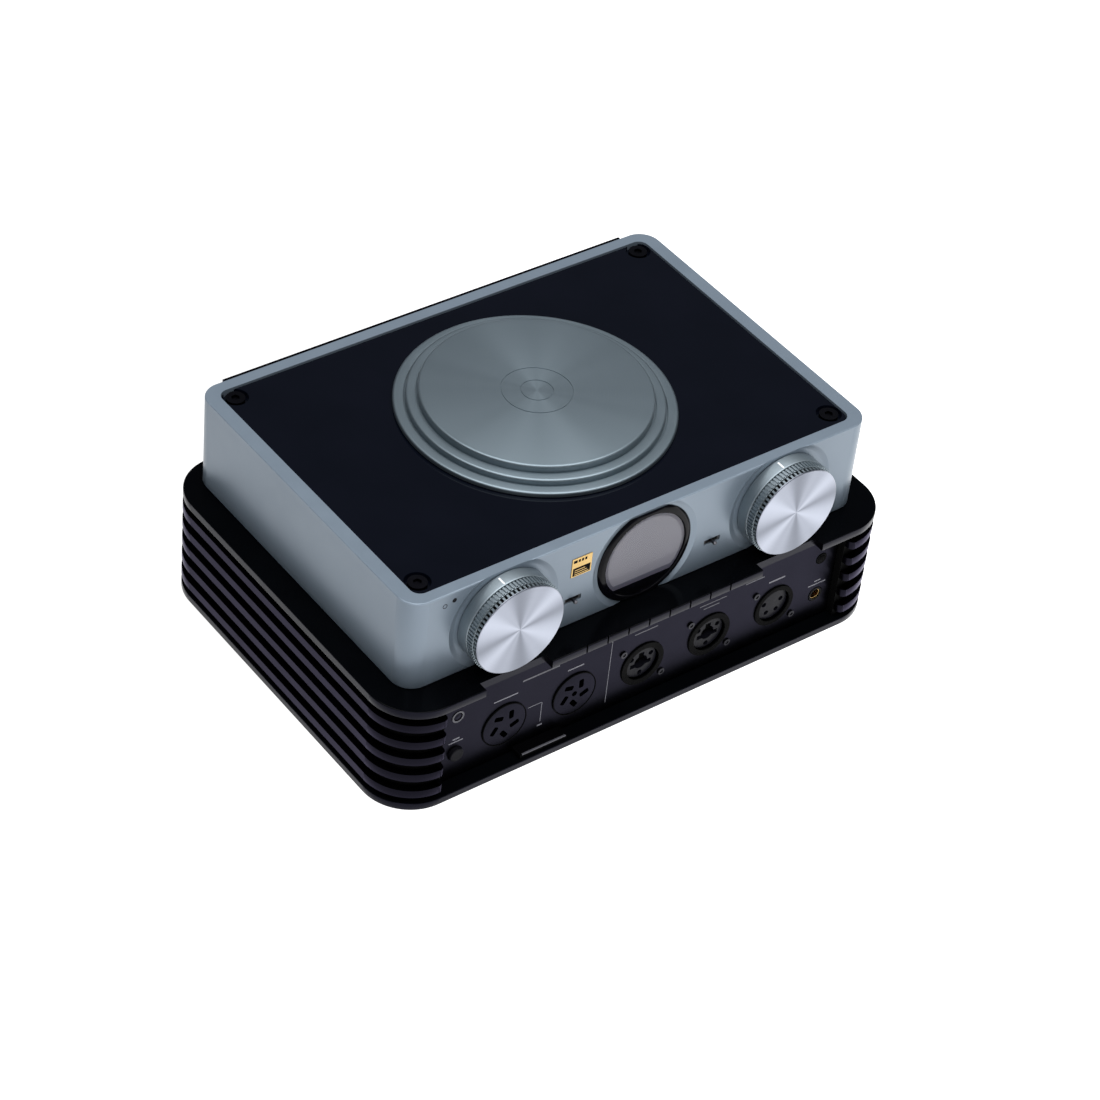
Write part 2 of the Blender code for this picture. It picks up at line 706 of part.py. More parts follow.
def corner_posts():
    """Blocks inside the case corners that the top panel is screwed to."""
    posts = []
    half_x = UPPER_WIDTH / 2 - CASE_WALL / 2
    for side in (-1, 1):
        for y_edge, inward in ((UPPER_FRONT + CASE_WALL / 2, 1), (UPPER_BACK - CASE_WALL / 2, -1)):
            xs = sorted((side * half_x, side * (half_x - POST_SIZE)))
            ys = sorted((y_edge, y_edge + inward * POST_SIZE))
            low = (xs[0], ys[0], CASE_BOTTOM + 0.004)
            high = (xs[1], ys[1], CASE_TOP)
            posts.append(rounded_block("corner_post", low, high, CASE_WALL, 3))
    return posts


def make_upper_case(finishes):
    """Upper case: one aluminium shell, open below, with the top panel's opening above."""
    half = UPPER_WIDTH / 2
    low = (-half, UPPER_FRONT, CASE_BOTTOM)
    high = (half, UPPER_BACK, CASE_TOP)
    case = rounded_block("upper_case", low, high, UPPER_CORNER)
    inner = half - CASE_WALL
    low = (-inner, UPPER_FRONT + CASE_WALL, CASE_BOTTOM - OVERCUT)
    high = (inner, UPPER_BACK - CASE_WALL, TOP_PANEL_UNDER - GAP + SEAT_STEP)
    hollow = rounded_block("case_hollow", low, high, UPPER_CORNER - CASE_WALL)
    cut(hollow, corner_posts())
    opening_x = half - RIM_SIDE
    low = (-opening_x, UPPER_FRONT + RIM_END, TOP_PANEL_UNDER - GAP)
    high = (opening_x, UPPER_BACK - RIM_END, CASE_TOP + OVERCUT)
    opening = rounded_block("panel_opening", low, high, RIM_CORNER)
    cut(case, [hollow, opening])
    knob_room = KNOB_RADIUS + DISH_ROOM
    tools = [dish_cutter(side * KNOB_X, KNOB_Z, knob_room) for side in (-1, 1)]
    tools.append(dish_cutter(0.0, DISPLAY_Z, BEZEL_RADIUS + GAP))
    tools += [case_hole(BUSH_RADIUS + GAP, side * KNOB_X, KNOB_Z, SMALL_STEPS) for side in (-1, 1)]
    tools.append(case_hole(BEZEL_BARREL + GAP, 0.0, DISPLAY_Z))
    tools.append(case_hole(STATUS_RADIUS + GAP, STATUS_X, STATUS_Z, 12))
    for side in (-1, 1):
        x = side * LEVER_X
        low = (x - SLOT_WIDTH / 2, UPPER_FRONT - OVERCUT, LEVER_Z - SLOT_HEIGHT / 2)
        high = (x + SLOT_WIDTH / 2, UPPER_FRONT + CASE_WALL + OVERCUT, LEVER_Z + SLOT_HEIGHT / 2)
        tools.append(block("lever_slot", low, high))
    window = half - WINDOW_INSET
    low = (-window, UPPER_BACK - CASE_WALL - OVERCUT, CASE_BOTTOM + WINDOW_LOW)
    high = (window, UPPER_BACK + OVERCUT, CASE_TOP - WINDOW_HIGH)
    tools.append(block("rear_window", low, high))
    place(cut(case, tools), finishes["case"])


def make_top(finishes):
    """Glossy top panel and the stepped disc that stands on it."""
    half_x = UPPER_WIDTH / 2 - RIM_SIDE - GAP
    low = (-half_x, UPPER_FRONT + RIM_END + GAP, TOP_PANEL_UNDER)
    high = (half_x, UPPER_BACK - RIM_END - GAP, TOP_PANEL_TOP)
    place(rounded_block("top_panel", low, high, RIM_CORNER - GAP), finishes["gloss"])
    bottom = TOP_PANEL_TOP + GAP
    tops = [CASE_TOP + height for height in reversed(DISC_HEIGHTS)]
    shape = [(0.0, tops[0])]
    for radius, top, foot in zip(reversed(DISC_RADII), tops, [*tops[1:], bottom]):
        shape += [(radius, top), (radius, foot)]
    shape.append((0.0, bottom))
    disc = turned("top_disc", shape, DISC_STEPS)
    moved(disc, Matrix.Translation((0.0, UPPER_Y + TOP_SHIFT, 0.0)))
    place(disc, finishes["case"])


def make_upper_rear(finishes):
    """Vented plate on the back of the upper case."""
    half = UPPER_WIDTH / 2 - REAR_PLATE_INSET
    low_y = UPPER_BACK + GAP
    high_y = low_y + REAR_PLATE_THICKNESS
    plate = block("upper_rear_panel", (-half, low_y, CASE_BOTTOM + 0.0015), (half, high_y, TOP_PANEL_TOP))
    tools = []
    for index in range(VENT_COUNT):
        x = (index - (VENT_COUNT - 1) / 2) * VENT_PITCH
        low = (x - VENT_WIDTH / 2, low_y - OVERCUT, DISPLAY_Z - VENT_HEIGHT / 2)
        high = (x + VENT_WIDTH / 2, high_y + OVERCUT, DISPLAY_Z + VENT_HEIGHT / 2)
        tools.append(block("vent", low, high))
    place(cut(plate, tools), finishes["black"])


def knurled(name, radius, low, high, bore, count, depth):
    """Ring or disc with a toothed rim, made by a closed outline pulled up."""
    data = bmesh.new()
    rims = []
    for height in (high, low):
        rim = []
        for index in range(count * 2):
            angle = math.pi * index / count
            reach = radius - (depth if index % 2 else 0.0)
            rim.append(data.verts.new((reach * math.cos(angle), reach * math.sin(angle), height)))
        rims.append(rim)
    data.faces.new(rims[0])
    data.faces.new(list(reversed(rims[1])))
    total = count * 2
    for index in range(total):
        after = (index + 1) % total
        data.faces.new((rims[0][after], rims[0][index], rims[1][index], rims[1][after]))
    bmesh.ops.recalc_face_normals(data, faces=data.faces)
    made = mesh_object(name, data)
    if bore:
        cut(made, [rod("grip_bore", bore, low - OVERCUT, high + OVERCUT)])
    return made


def make_knob(name, pot_name, side, finishes):
    """One rotary control: collar, grip, cap and shaft on the axis, with its nut and body behind the case."""
    x = side * KNOB_X
    axis = axis_empty(f"{name}_axis", (x, UPPER_FRONT, KNOB_Z))
    stand = facing(0.0, 0.0, 0.0)
    bore = SHAFT_RADIUS + GAP
    back = RUNNING_GAP - DISH_DEPTH
    hollow = NUT_RADIUS + 0.0015
    chamfer = 0.0003
    shape = [(bore, COLLAR_REACH), (KNOB_RADIUS - chamfer, COLLAR_REACH), (KNOB_RADIUS, COLLAR_REACH - chamfer)]
    shape += [(KNOB_RADIUS, back), (hollow, back), (hollow, 0.0032), (bore, 0.0032)]
    place(moved(turned(f"{name}_collar", shape), stand), finishes["collar"], axis)
    low = COLLAR_REACH + GAP
    grip = knurled(f"{name}_grip", KNOB_RADIUS, low, GRIP_REACH, bore, KNURL_COUNT, KNURL_DEPTH)
    place(moved(grip, stand), finishes["collar"], axis)
    low = GRIP_REACH + GAP
    neck = CAP_RADIUS - 0.0012
    shape = [(0.0, KNOB_REACH - 0.0003), (CAP_RADIUS - 0.0012, KNOB_REACH), (CAP_RADIUS, KNOB_REACH - 0.0004)]
    shape += [(CAP_RADIUS, low + 0.0006), (neck, low + 0.0006), (neck, low), (0.0, low)]
    place(moved(turned(f"{name}_cap", shape), stand), finishes["bright"], axis)
    shaft = turned(f"{name}_shaft", disc_profile(SHAFT_RADIUS, -0.014, GRIP_REACH), SMALL_STEPS)
    place(moved(shaft, stand), finishes["steel"], axis)
    stand = facing(x, UPPER_FRONT, KNOB_Z)
    nut = rod(f"{name}_nut", NUT_RADIUS, GAP - DISH_DEPTH, NUT_TOP, 6)
    cut(nut, [rod("nut_bore", BUSH_RADIUS + GAP, -OVERCUT, NUT_TOP + OVERCUT, 24)])
    place(moved(nut, stand), finishes["steel"])
    front = -CASE_WALL - GAP
    shape = [(0.0, -0.0155), (bore, -0.0155), (bore, 0.0022), (BUSH_RADIUS, 0.0022), (BUSH_RADIUS, front)]
    shape += [(POT_RADIUS, front), (POT_RADIUS, -POT_BACK), (0.0, -POT_BACK)]
    place(moved(turned(pot_name, shape, 24), stand), finishes["plastic"])


def make_display(finishes):
    """Round display: bezel ring, glass and screen module."""
    stand = facing(0.0, UPPER_FRONT, DISPLAY_Z)
    floor = GAP - DISH_DEPTH
    face = GAP
    seat = face - LENS_THICKNESS - GAP
    inner = LENS_RADIUS + GAP
    shape = [(inner, face), (inner + 0.0006, face), (BEZEL_RADIUS, floor + 0.0002), (BEZEL_RADIUS, floor)]
    back = GAP - RIM_END
    shape += [(BEZEL_BARREL, floor), (BEZEL_BARREL, back), (LENS_RADIUS - 0.0012, back)]
    shape += [(LENS_RADIUS - 0.0012, seat), (inner, seat)]
    bezel = turned("display_bezel", shape)
    reach = UPPER_HEIGHT / 2 - BEZEL_TRIM
    trim_low = block("bezel_trim_low", (-0.03, -0.03, -0.01), (0.03, -reach, 0.01))
    trim_high = block("bezel_trim_high", (-0.03, reach, -0.01), (0.03, 0.03, 0.01))
    cut(bezel, [trim_low, trim_high])
    place(moved(bezel, stand), finishes["gloss"])
    lens = turned("display_lens", disc_profile(LENS_RADIUS, face - LENS_THICKNESS, face))
    place(moved(lens, stand), finishes["glass"])
    module = turned("display_module", disc_profile(SCREEN_RADIUS, -RIM_END, seat - GAP))
    place(moved(module, stand), finishes["screen"])


def make_lever(name, switch_name, side, finishes):
    """Mini lever switch: the lever on its upright pivot, and the body behind the case."""
    x = side * LEVER_X
    axis = axis_empty(f"{name}_axis", (x, UPPER_FRONT + LEVER_PIVOT, LEVER_Z))
    tip = LEVER_PIVOT + LEVER_REACH
    shape = [(0.0, tip), (0.0008, tip - 0.0002), (0.0009, tip - 0.001), (0.0006, tip - 0.0022), (0.0006, 0.0012)]
    shape += [(0.0013, 0.0), (0.0009, -0.0011), (0.0, -0.0014)]
    lever = turned(name, shape, 12)
    place(moved(lever, facing(0.0, 0.0, 0.0)), finishes["bright"], axis)
    nose_x = SLOT_WIDTH / 2 - GAP
    nose_z = SLOT_HEIGHT / 2 - GAP
    start = UPPER_FRONT + RUNNING_GAP
    wall = UPPER_FRONT + CASE_WALL + GAP
    body = block(switch_name, (x - 0.0065, wall, LEVER_Z - 0.004), (x + 0.0065, wall + 0.009, LEVER_Z + 0.004))
    nose = block("switch_nose", (x - nose_x, start, LEVER_Z - nose_z), (x + nose_x, wall + 0.002, LEVER_Z + nose_z))
    join(body, [nose])
    way_x = nose_x - 0.0008
    way_z = 0.00075
    low = (x - way_x, start - OVERCUT, LEVER_Z - way_z)
    slit = block("lever_way", low, (x + way_x, wall + 0.006, LEVER_Z + way_z))
    low = (x - 0.0035, wall + 0.0007, LEVER_Z - 0.0018)
    cup = block("lever_cup", low, (x + 0.0035, wall + 0.0065, LEVER_Z + 0.0018))
    cut(body, [slit, cup])
    place(body, finishes["plastic"])


def make_upper_inside(finishes):
    """Upper board, two small valves in their sockets, and the status light."""
    top = UPPER_BOARD_Z + BOARD_THICKNESS
    half = UPPER_WIDTH / 2 - UPPER_BOARD_SIDE
    low = (-half, UPPER_FRONT + UPPER_BOARD_FRONT, UPPER_BOARD_Z)
    high = (half, UPPER_BACK - UPPER_BOARD_REAR, top)
    place(block("upper_board", low, high), finishes["board"])
    for side_name, side in (("left", -1), ("right", 1)):
        shift = Matrix.Translation((side * VALVE_SPACING / 2, UPPER_Y + VALVE_SHIFT, 0.0))
        seat = top + VALVE_SOCKET_HEIGHT
        base = turned(f"valve_socket_{side_name}", disc_profile(VALVE_SOCKET_RADIUS, top + GAP, seat), 20)
        place(moved(base, shift), finishes["plastic"])
        low = seat + GAP
        tip = low + VALVE_LENGTH
        shape = [(0.0, tip), (VALVE_RADIUS - 0.0022, tip - 0.001), (VALVE_RADIUS, tip - 0.004)]
        shape += [(VALVE_RADIUS, low), (0.0, low)]
        place(moved(turned(f"valve_{side_name}", shape, 20), shift), finishes["glass"])
    light = turned("status_light", disc_profile(STATUS_RADIUS, -0.005, 0.0), 12)
    place(moved(light, facing(STATUS_X, UPPER_FRONT, STATUS_Z)), finishes["glass"])


def build():
    """Make every sub-part."""
    clear_scene()
    finishes = make_finishes()
    make_base(finishes)
    make_deck(finishes)
    make_fin_wrap("fin_wrap_left", -1, finishes["black"])
    make_fin_wrap("fin_wrap_right", 1, finishes["black"])
    make_feet(finishes)
    make_front_panel(finishes)
    make_front_sockets(finishes)
    make_edge_controls(finishes)
    make_power_button(finishes)
    make_card(finishes)
    make_lower_inside(finishes)
    make_rear(finishes)
    make_upper_case(finishes)
    make_top(finishes)
    make_upper_rear(finishes)
    make_knob("volume", "volume_pot", 1, finishes)
    make_knob("selector", "selector_encoder", -1, finishes)
    make_display(finishes)
    make_lever("bass_lever", "bass_switch", -1, finishes)
    make_lever("width_lever", "width_switch", 1, finishes)
    make_upper_inside(finishes)


build()
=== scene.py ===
"""Looks of a two-storey desktop headphone amplifier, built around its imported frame.

Every piece is in metres in the frame's own axes: the front faces -Y and +Z is up.
"""

import logging
import math
from collections.abc import Iterable, Sequence
from dataclasses import dataclass, field
from enum import Enum

import bmesh
import bpy
from mathutils import Matrix, Vector


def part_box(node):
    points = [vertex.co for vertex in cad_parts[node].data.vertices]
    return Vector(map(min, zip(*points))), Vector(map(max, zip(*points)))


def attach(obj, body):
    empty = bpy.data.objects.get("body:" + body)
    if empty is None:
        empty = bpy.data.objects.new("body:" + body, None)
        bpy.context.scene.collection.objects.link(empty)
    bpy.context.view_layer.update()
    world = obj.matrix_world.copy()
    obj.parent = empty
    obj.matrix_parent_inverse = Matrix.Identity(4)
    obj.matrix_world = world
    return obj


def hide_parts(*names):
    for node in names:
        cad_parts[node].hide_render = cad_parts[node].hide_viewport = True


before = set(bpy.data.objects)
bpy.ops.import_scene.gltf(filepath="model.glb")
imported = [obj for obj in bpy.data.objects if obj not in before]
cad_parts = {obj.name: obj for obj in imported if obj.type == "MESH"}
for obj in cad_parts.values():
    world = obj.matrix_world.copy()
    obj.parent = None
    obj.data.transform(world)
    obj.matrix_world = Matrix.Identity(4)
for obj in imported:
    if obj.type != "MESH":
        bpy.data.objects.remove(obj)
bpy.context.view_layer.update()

LOG = logging.getLogger("amplifier")
MERGE = 0.000001
ROUND = 96
SMALL_ROUND = 40
MEDIUM_ROUND = 64
LARGE_ROUND = 128
LARGEST_ROUND = 160
PLANE_AREA = 0.00006
OVERCUT = 0.002
CREASE = math.radians(28)
NARROW_CREASE = math.radians(18)
MIDDLE_RANGE = (0.3, 0.7)
BROAD_WAVES = 38.0
BROAD_DETAIL = 4.0
GLOSS_WAVES = 90.0
COLOUR_MIX_INPUTS = (0, 6, 7)
COLOUR_MIX_OUTPUT = 2

Profile = Sequence[tuple[float, ...]]
Point = tuple[float, float, float]


class Body(Enum):
    """Bodies of the frame that pieces ride on."""

    CHASSIS = "chassis"
    VOLUME = "volume_knob"
    SELECTOR = "selector_knob"
    BASS = "bass_switch_lever"
    WIDTH = "width_switch_lever"
    BUTTON = "power_button"
    CARD = "bias_card"


class Slot(Enum):
    """Material slots of the record."""

    CASE = "satin_aluminium"
    BRIGHT = "bright_aluminium"
    COLLAR = "grey_aluminium"
    GLOSS = "gloss_black"
    BLACK = "satin_black_metal"
    SOCKET = "socket_black"
    PLASTIC = "black_plastic"
    GLASS = "clear_glass"
    SCREEN = "screen_face"
    STEEL = "steel"
    GOLD = "gold_plate"
    BOARD = "board_green"
    IRON = "iron_core"
    RUBBER = "rubber"


# ---------------------------------------------------------------- shaping


def linked(name: str, mesh: bpy.types.Mesh) -> bpy.types.Object:
    """Put a mesh in the scene under a name.

    Args:
        name: The piece's name.
        mesh: Its mesh, with the place in its points.

    Returns:
        The new object, at the origin.
    """
    made = bpy.data.objects.new(name, mesh)
    bpy.context.scene.collection.objects.link(made)
    return made


def from_bmesh(name: str, data: bmesh.types.BMesh) -> bpy.types.Object:
    """Turn a bmesh into an object with its faces outwards.

    Args:
        name: The piece's name.
        data: The shape, which is freed.

    Returns:
        The new object.
    """
    bmesh.ops.recalc_face_normals(data, faces=data.faces)
    mesh = bpy.data.meshes.new(name)
    data.to_mesh(mesh)
    data.free()
    return linked(name, mesh)


def frozen(piece: bpy.types.Object) -> bpy.types.Object:
    """Apply the piece's modifiers and merge its doubled points.

    Args:
        piece: An object with live modifiers.

    Returns:
        The same object as a plain mesh.
    """
    bpy.context.view_layer.update()
    graph = bpy.context.evaluated_depsgraph_get()
    mesh = bpy.data.meshes.new_from_object(piece.evaluated_get(graph))
    piece.modifiers.clear()
    piece.data = mesh
    data = bmesh.new()
    data.from_mesh(mesh)
    bmesh.ops.remove_doubles(data, verts=data.verts, dist=MERGE)
    data.to_mesh(mesh)
    data.free()
    return piece


def smooth(piece: bpy.types.Object, angle: float = CREASE) -> bpy.types.Object:
    """Shade the piece smooth, with its creases kept sharp.

    Args:
        piece: The object to shade.
        angle: The bend, in radians, past which an edge stays sharp.

    Returns:
        The same object.
    """
    piece.data.shade_smooth()
    piece.data.set_sharp_from_angle(angle=angle)
    for face in piece.data.polygons:
        if face.area > PLANE_AREA:
            face.use_smooth = False
    return piece


def put(piece: bpy.types.Object, matrix: Matrix) -> bpy.types.Object:
    """Move a piece by moving its points.

    Args:
        piece: The object, which stays at the origin.
        matrix: Where its points go.

    Returns:
        The same object.
    """
    piece.data.transform(matrix)
    return piece


def combined(target: bpy.types.Object, tools: Iterable[bpy.types.Object], operation: str) -> bpy.types.Object:
    """Cut tools from a piece or join them to it, and remove the tools.

    Args:
        target: The piece to change.
        tools: Closed solids.
        operation: DIFFERENCE, UNION or INTERSECT.

    Returns:
        The changed piece.
    """
    used = list(tools)
    for tool in used:
        step = target.modifiers.new("combine", "BOOLEAN")
        step.operation = operation
        step.solver = "EXACT"
        step.object = tool
    frozen(target)
    for tool in used:
        bpy.data.objects.remove(tool, do_unlink=True)
    return target


def eased(target: bpy.types.Object, width: float, segments: int = 2, angle: float = 0.6) -> bpy.types.Object:
    """Round the sharp edges of a piece.

    Args:
        target: The piece.
        width: Width of each rounded edge.
        segments: Faces across the rounding.
        angle: The bend, in radians, past which an edge is rounded.

    Returns:
        The same piece.
    """
    step = target.modifiers.new("ease", "BEVEL")
    step.width = width
    step.segments = segments
    step.limit_method = "ANGLE"
    step.angle_limit = angle
    step.use_clamp_overlap = True
    return frozen(target)


def facing_front(x: float, y: float, z: float) -> Matrix:
    """Matrix that stands an upright shape on a surface facing the front."""
    return Matrix.Translation((x, y, z)) @ Matrix.Rotation(math.pi / 2, 4, "X")


def facing_back(x: float, y: float, z: float) -> Matrix:
    """Matrix that stands an upright shape on a surface facing the back."""
    return Matrix.Translation((x, y, z)) @ Matrix.Rotation(-math.pi / 2, 4, "X")


def rounded_profile(corners: Profile, steps: int = 4) -> list[tuple[float, float]]:
    """Round the corners of a profile.

    Args:
        corners: Points of (radius, height) or (radius, height, rounding).
        steps: Straight pieces in each rounding.

    Returns:
        The profile's points, in order.
    """
    made: list[tuple[float, float]] = []
    last = len(corners) - 1
    for index, corner in enumerate(corners):
        here = Vector(corner[:2])
        rounding = corner[2] if len(corner) > 2 else 0.0
        if rounding == 0.0 or index in (0, last):
            made.append((here.x, here.y))
            continue
        before = Vector(corners[index - 1][:2]) - here
        after = Vector(corners[index + 1][:2]) - here
        reach = min(rounding, before.length * 0.49, after.length * 0.49)
        start = here + before.normalized() * reach
        end = here + after.normalized() * reach
        for step in range(steps + 1):
            share = step / steps
            spot = start * (1 - share) ** 2 + here * 2 * share * (1 - share) + end * share**2
            made.append((spot.x, spot.y))
    return made


def turned(name: str, profile: Profile, steps: int = ROUND) -> bpy.types.Object:
    """Turn a profile of (radius, height) about the upright axis.

    The map runs once round in U, so its tangent follows the turning marks.

    Args:
        name: The piece's name.
        profile: The section's points. It closes on itself unless it starts and ends on the axis.
        steps: Faces round the axis.

    Returns:
        A closed solid.
    """
    data = bmesh.new()
    layer = data.loops.layers.uv.new("turning")
    rings = []
    for radius, height in profile:
        if radius < MERGE:
            rings.append([data.verts.new((0.0, 0.0, height))])
            continue
        turns = [math.tau * step / steps for step in range(steps)]
        rings.append([data.verts.new((radius * math.cos(a), radius * math.sin(a), height)) for a in turns])
    pairs = list(zip(range(len(rings) - 1), range(1, len(rings))))
    if len(rings[0]) > 1:
        pairs.append((len(rings) - 1, 0))
    for first, second in pairs:
        one, two = rings[first], rings[second]
        if len(one) == 1 and len(two) == 1:
            continue
        for step in range(steps):
            after = (step + 1) % steps
            corners = [(one, step, first), (one, after, first), (two, after, second), (two, step, second)]
            verts = []
            places = []
            for ring, index, row in corners:
                vert = ring[index % len(ring)] if len(ring) > 1 else ring[0]
                if vert in verts:
                    continue
                verts.append(vert)
                turn = step + 1 if index == after else step
                places.append((turn / steps, row / len(rings)))
            face = data.faces.new(verts)
            for loop, spot in zip(face.loops, places):
                loop[layer].uv = spot
    return from_bmesh(name, data)


def rounded_outline(half_x: float, half_y: float, radius: float, steps: int = 14) -> list[tuple[float, float]]:
    """Outline of a rectangle with round corners, centred on the origin.

    Args:
        half_x: Half the width.
        half_y: Half the depth.
        radius: Corner radius.
        steps: Straight pieces in each corner.

    Returns:
        The outline's points, anticlockwise.
    """
    made = []
    for quarter, (sx, sy) in enumerate(((1, 1), (-1, 1), (-1, -1), (1, -1))):
        for step in range(steps + 1):
            angle = math.pi / 2 * (quarter + step / steps)
            x = sx * (half_x - radius) + radius * math.cos(angle)
            y = sy * (half_y - radius) + radius * math.sin(angle)
            made.append((x, y))
    return made


def edge_levels(low: float, high: float, ease: float, steps: int = 3) -> list[tuple[float, float]]:
    """Insets and heights that round a slab's upper and lower edges.

    Args:
        low: Height of the underside.
        high: Height of the top.
        ease: Radius of the rounding.
        steps: Straight pieces in each rounding.

    Returns:
        Pairs of (inset, height), bottom to top.
    """
    made = []
    for step in range(steps + 1):
        angle = math.pi / 2 * step / steps
        made.append((ease * (1 - math.sin(angle)), low + ease * (1 - math.cos(angle))))
    return made + [(inset, high - (height - low)) for inset, height in reversed(made)]


def slab(
    name: str, low: Point, high: Point, radius: float, ease: float, steps: int = 14
) -> bpy.types.Object:
    """Make a slab with round corners and rounded edges.

    Args:
        name: The piece's name.
        low: Its lowest corner.
        high: Its highest corner.
        radius: Radius of its upright corners.
        ease: Rounding of its upper and lower edges.
        steps: Straight pieces in each corner.

    Returns:
        A closed solid.
    """
    half_x = (high[0] - low[0]) / 2
    half_y = (high[1] - low[1]) / 2
    centre = ((high[0] + low[0]) / 2, (high[1] + low[1]) / 2)
    levels = edge_levels(low[2], high[2], ease) if ease else [(0.0, low[2]), (0.0, high[2])]
    data = bmesh.new()
    rings = []
    for inset, height in levels:
        outline = rounded_outline(half_x - inset, half_y - inset, max(radius - inset, radius * 0.2), steps)
        rings.append([data.verts.new((centre[0] + x, centre[1] + y, height)) for x, y in outline])
    count = len(rings[0])
    for one, two in zip(rings, rings[1:]):
        for index in range(count):
            after = (index + 1) % count
            data.faces.new((one[index], one[after], two[after], two[index]))
    data.faces.new(list(reversed(rings[0])))
    data.faces.new(rings[-1])
    return from_bmesh(name, data)


def extruded(
    name: str, outline: Sequence[tuple[float, float]], side: int, low: float, high: float
) -> bpy.types.Object:
    """Raise a plan outline between two heights.

    Args:
        name: The piece's name.
        outline: Points of the outline, in order.
        side: 1 as given, or -1 for its mirror image.
        low: Height of the underside.
        high: Height of the top.

    Returns:
        A closed solid.
    """
    data = bmesh.new()
    rings = [[data.verts.new((side * x, y, z)) for x, y in outline] for z in (low, high)]
    for index in range(len(outline)):
        after = (index + 1) % len(outline)
        data.faces.new((rings[0][index], rings[0][after], rings[1][after], rings[1][index]))
    data.faces.new(rings[0])
    data.faces.new(rings[1])
    return from_bmesh(name, data)


def bar(name: str, low: Point, high: Point, ease: float = 0.0) -> bpy.types.Object:
    """Make a box between two corners, with rounded edges where ease is given.

    Args:
        name: The piece's name.
        low: Lowest corner.
        high: Highest corner.
        ease: Width of the rounded edges.

    Returns:
        A closed solid.
    """
    data = bmesh.new()
    size = [b - a for a, b in zip(low, high)]
    centre = [(a + b) / 2 for a, b in zip(low, high)]
    bmesh.ops.create_cube(data, size=1.0, matrix=Matrix.Translation(centre) @ Matrix.Diagonal((*size, 1.0)))
    if ease:
        bmesh.ops.bevel(data, geom=data.edges[:], offset=ease, segments=2, profile=0.5, affect="EDGES")
    return from_bmesh(name, data)


def rod(name: str, radius: float, low: float, high: float, steps: int = SMALL_ROUND) -> bpy.types.Object:
    """Make a plain upright cylinder between two heights."""
    return turned(name, [(0.0, high), (radius, high), (radius, low), (0.0, low)], steps)


def merged(name: str, pieces: Sequence[bpy.types.Object]) -> bpy.types.Object:
    """Gather separate solids into one object.

    Args:
        name: The new piece's name.
        pieces: Objects to gather, which are removed.

    Returns:
        One object that holds them all.
    """
    data = bmesh.new()
    for piece in pieces:
        data.from_mesh(piece.data)
        bpy.data.objects.remove(piece, do_unlink=True)
    mesh = bpy.data.meshes.new(name)
    data.to_mesh(mesh)
    data.free()
    return linked(name, mesh)


# ---------------------------------------------------------------- repeated shapes by geometry nodes


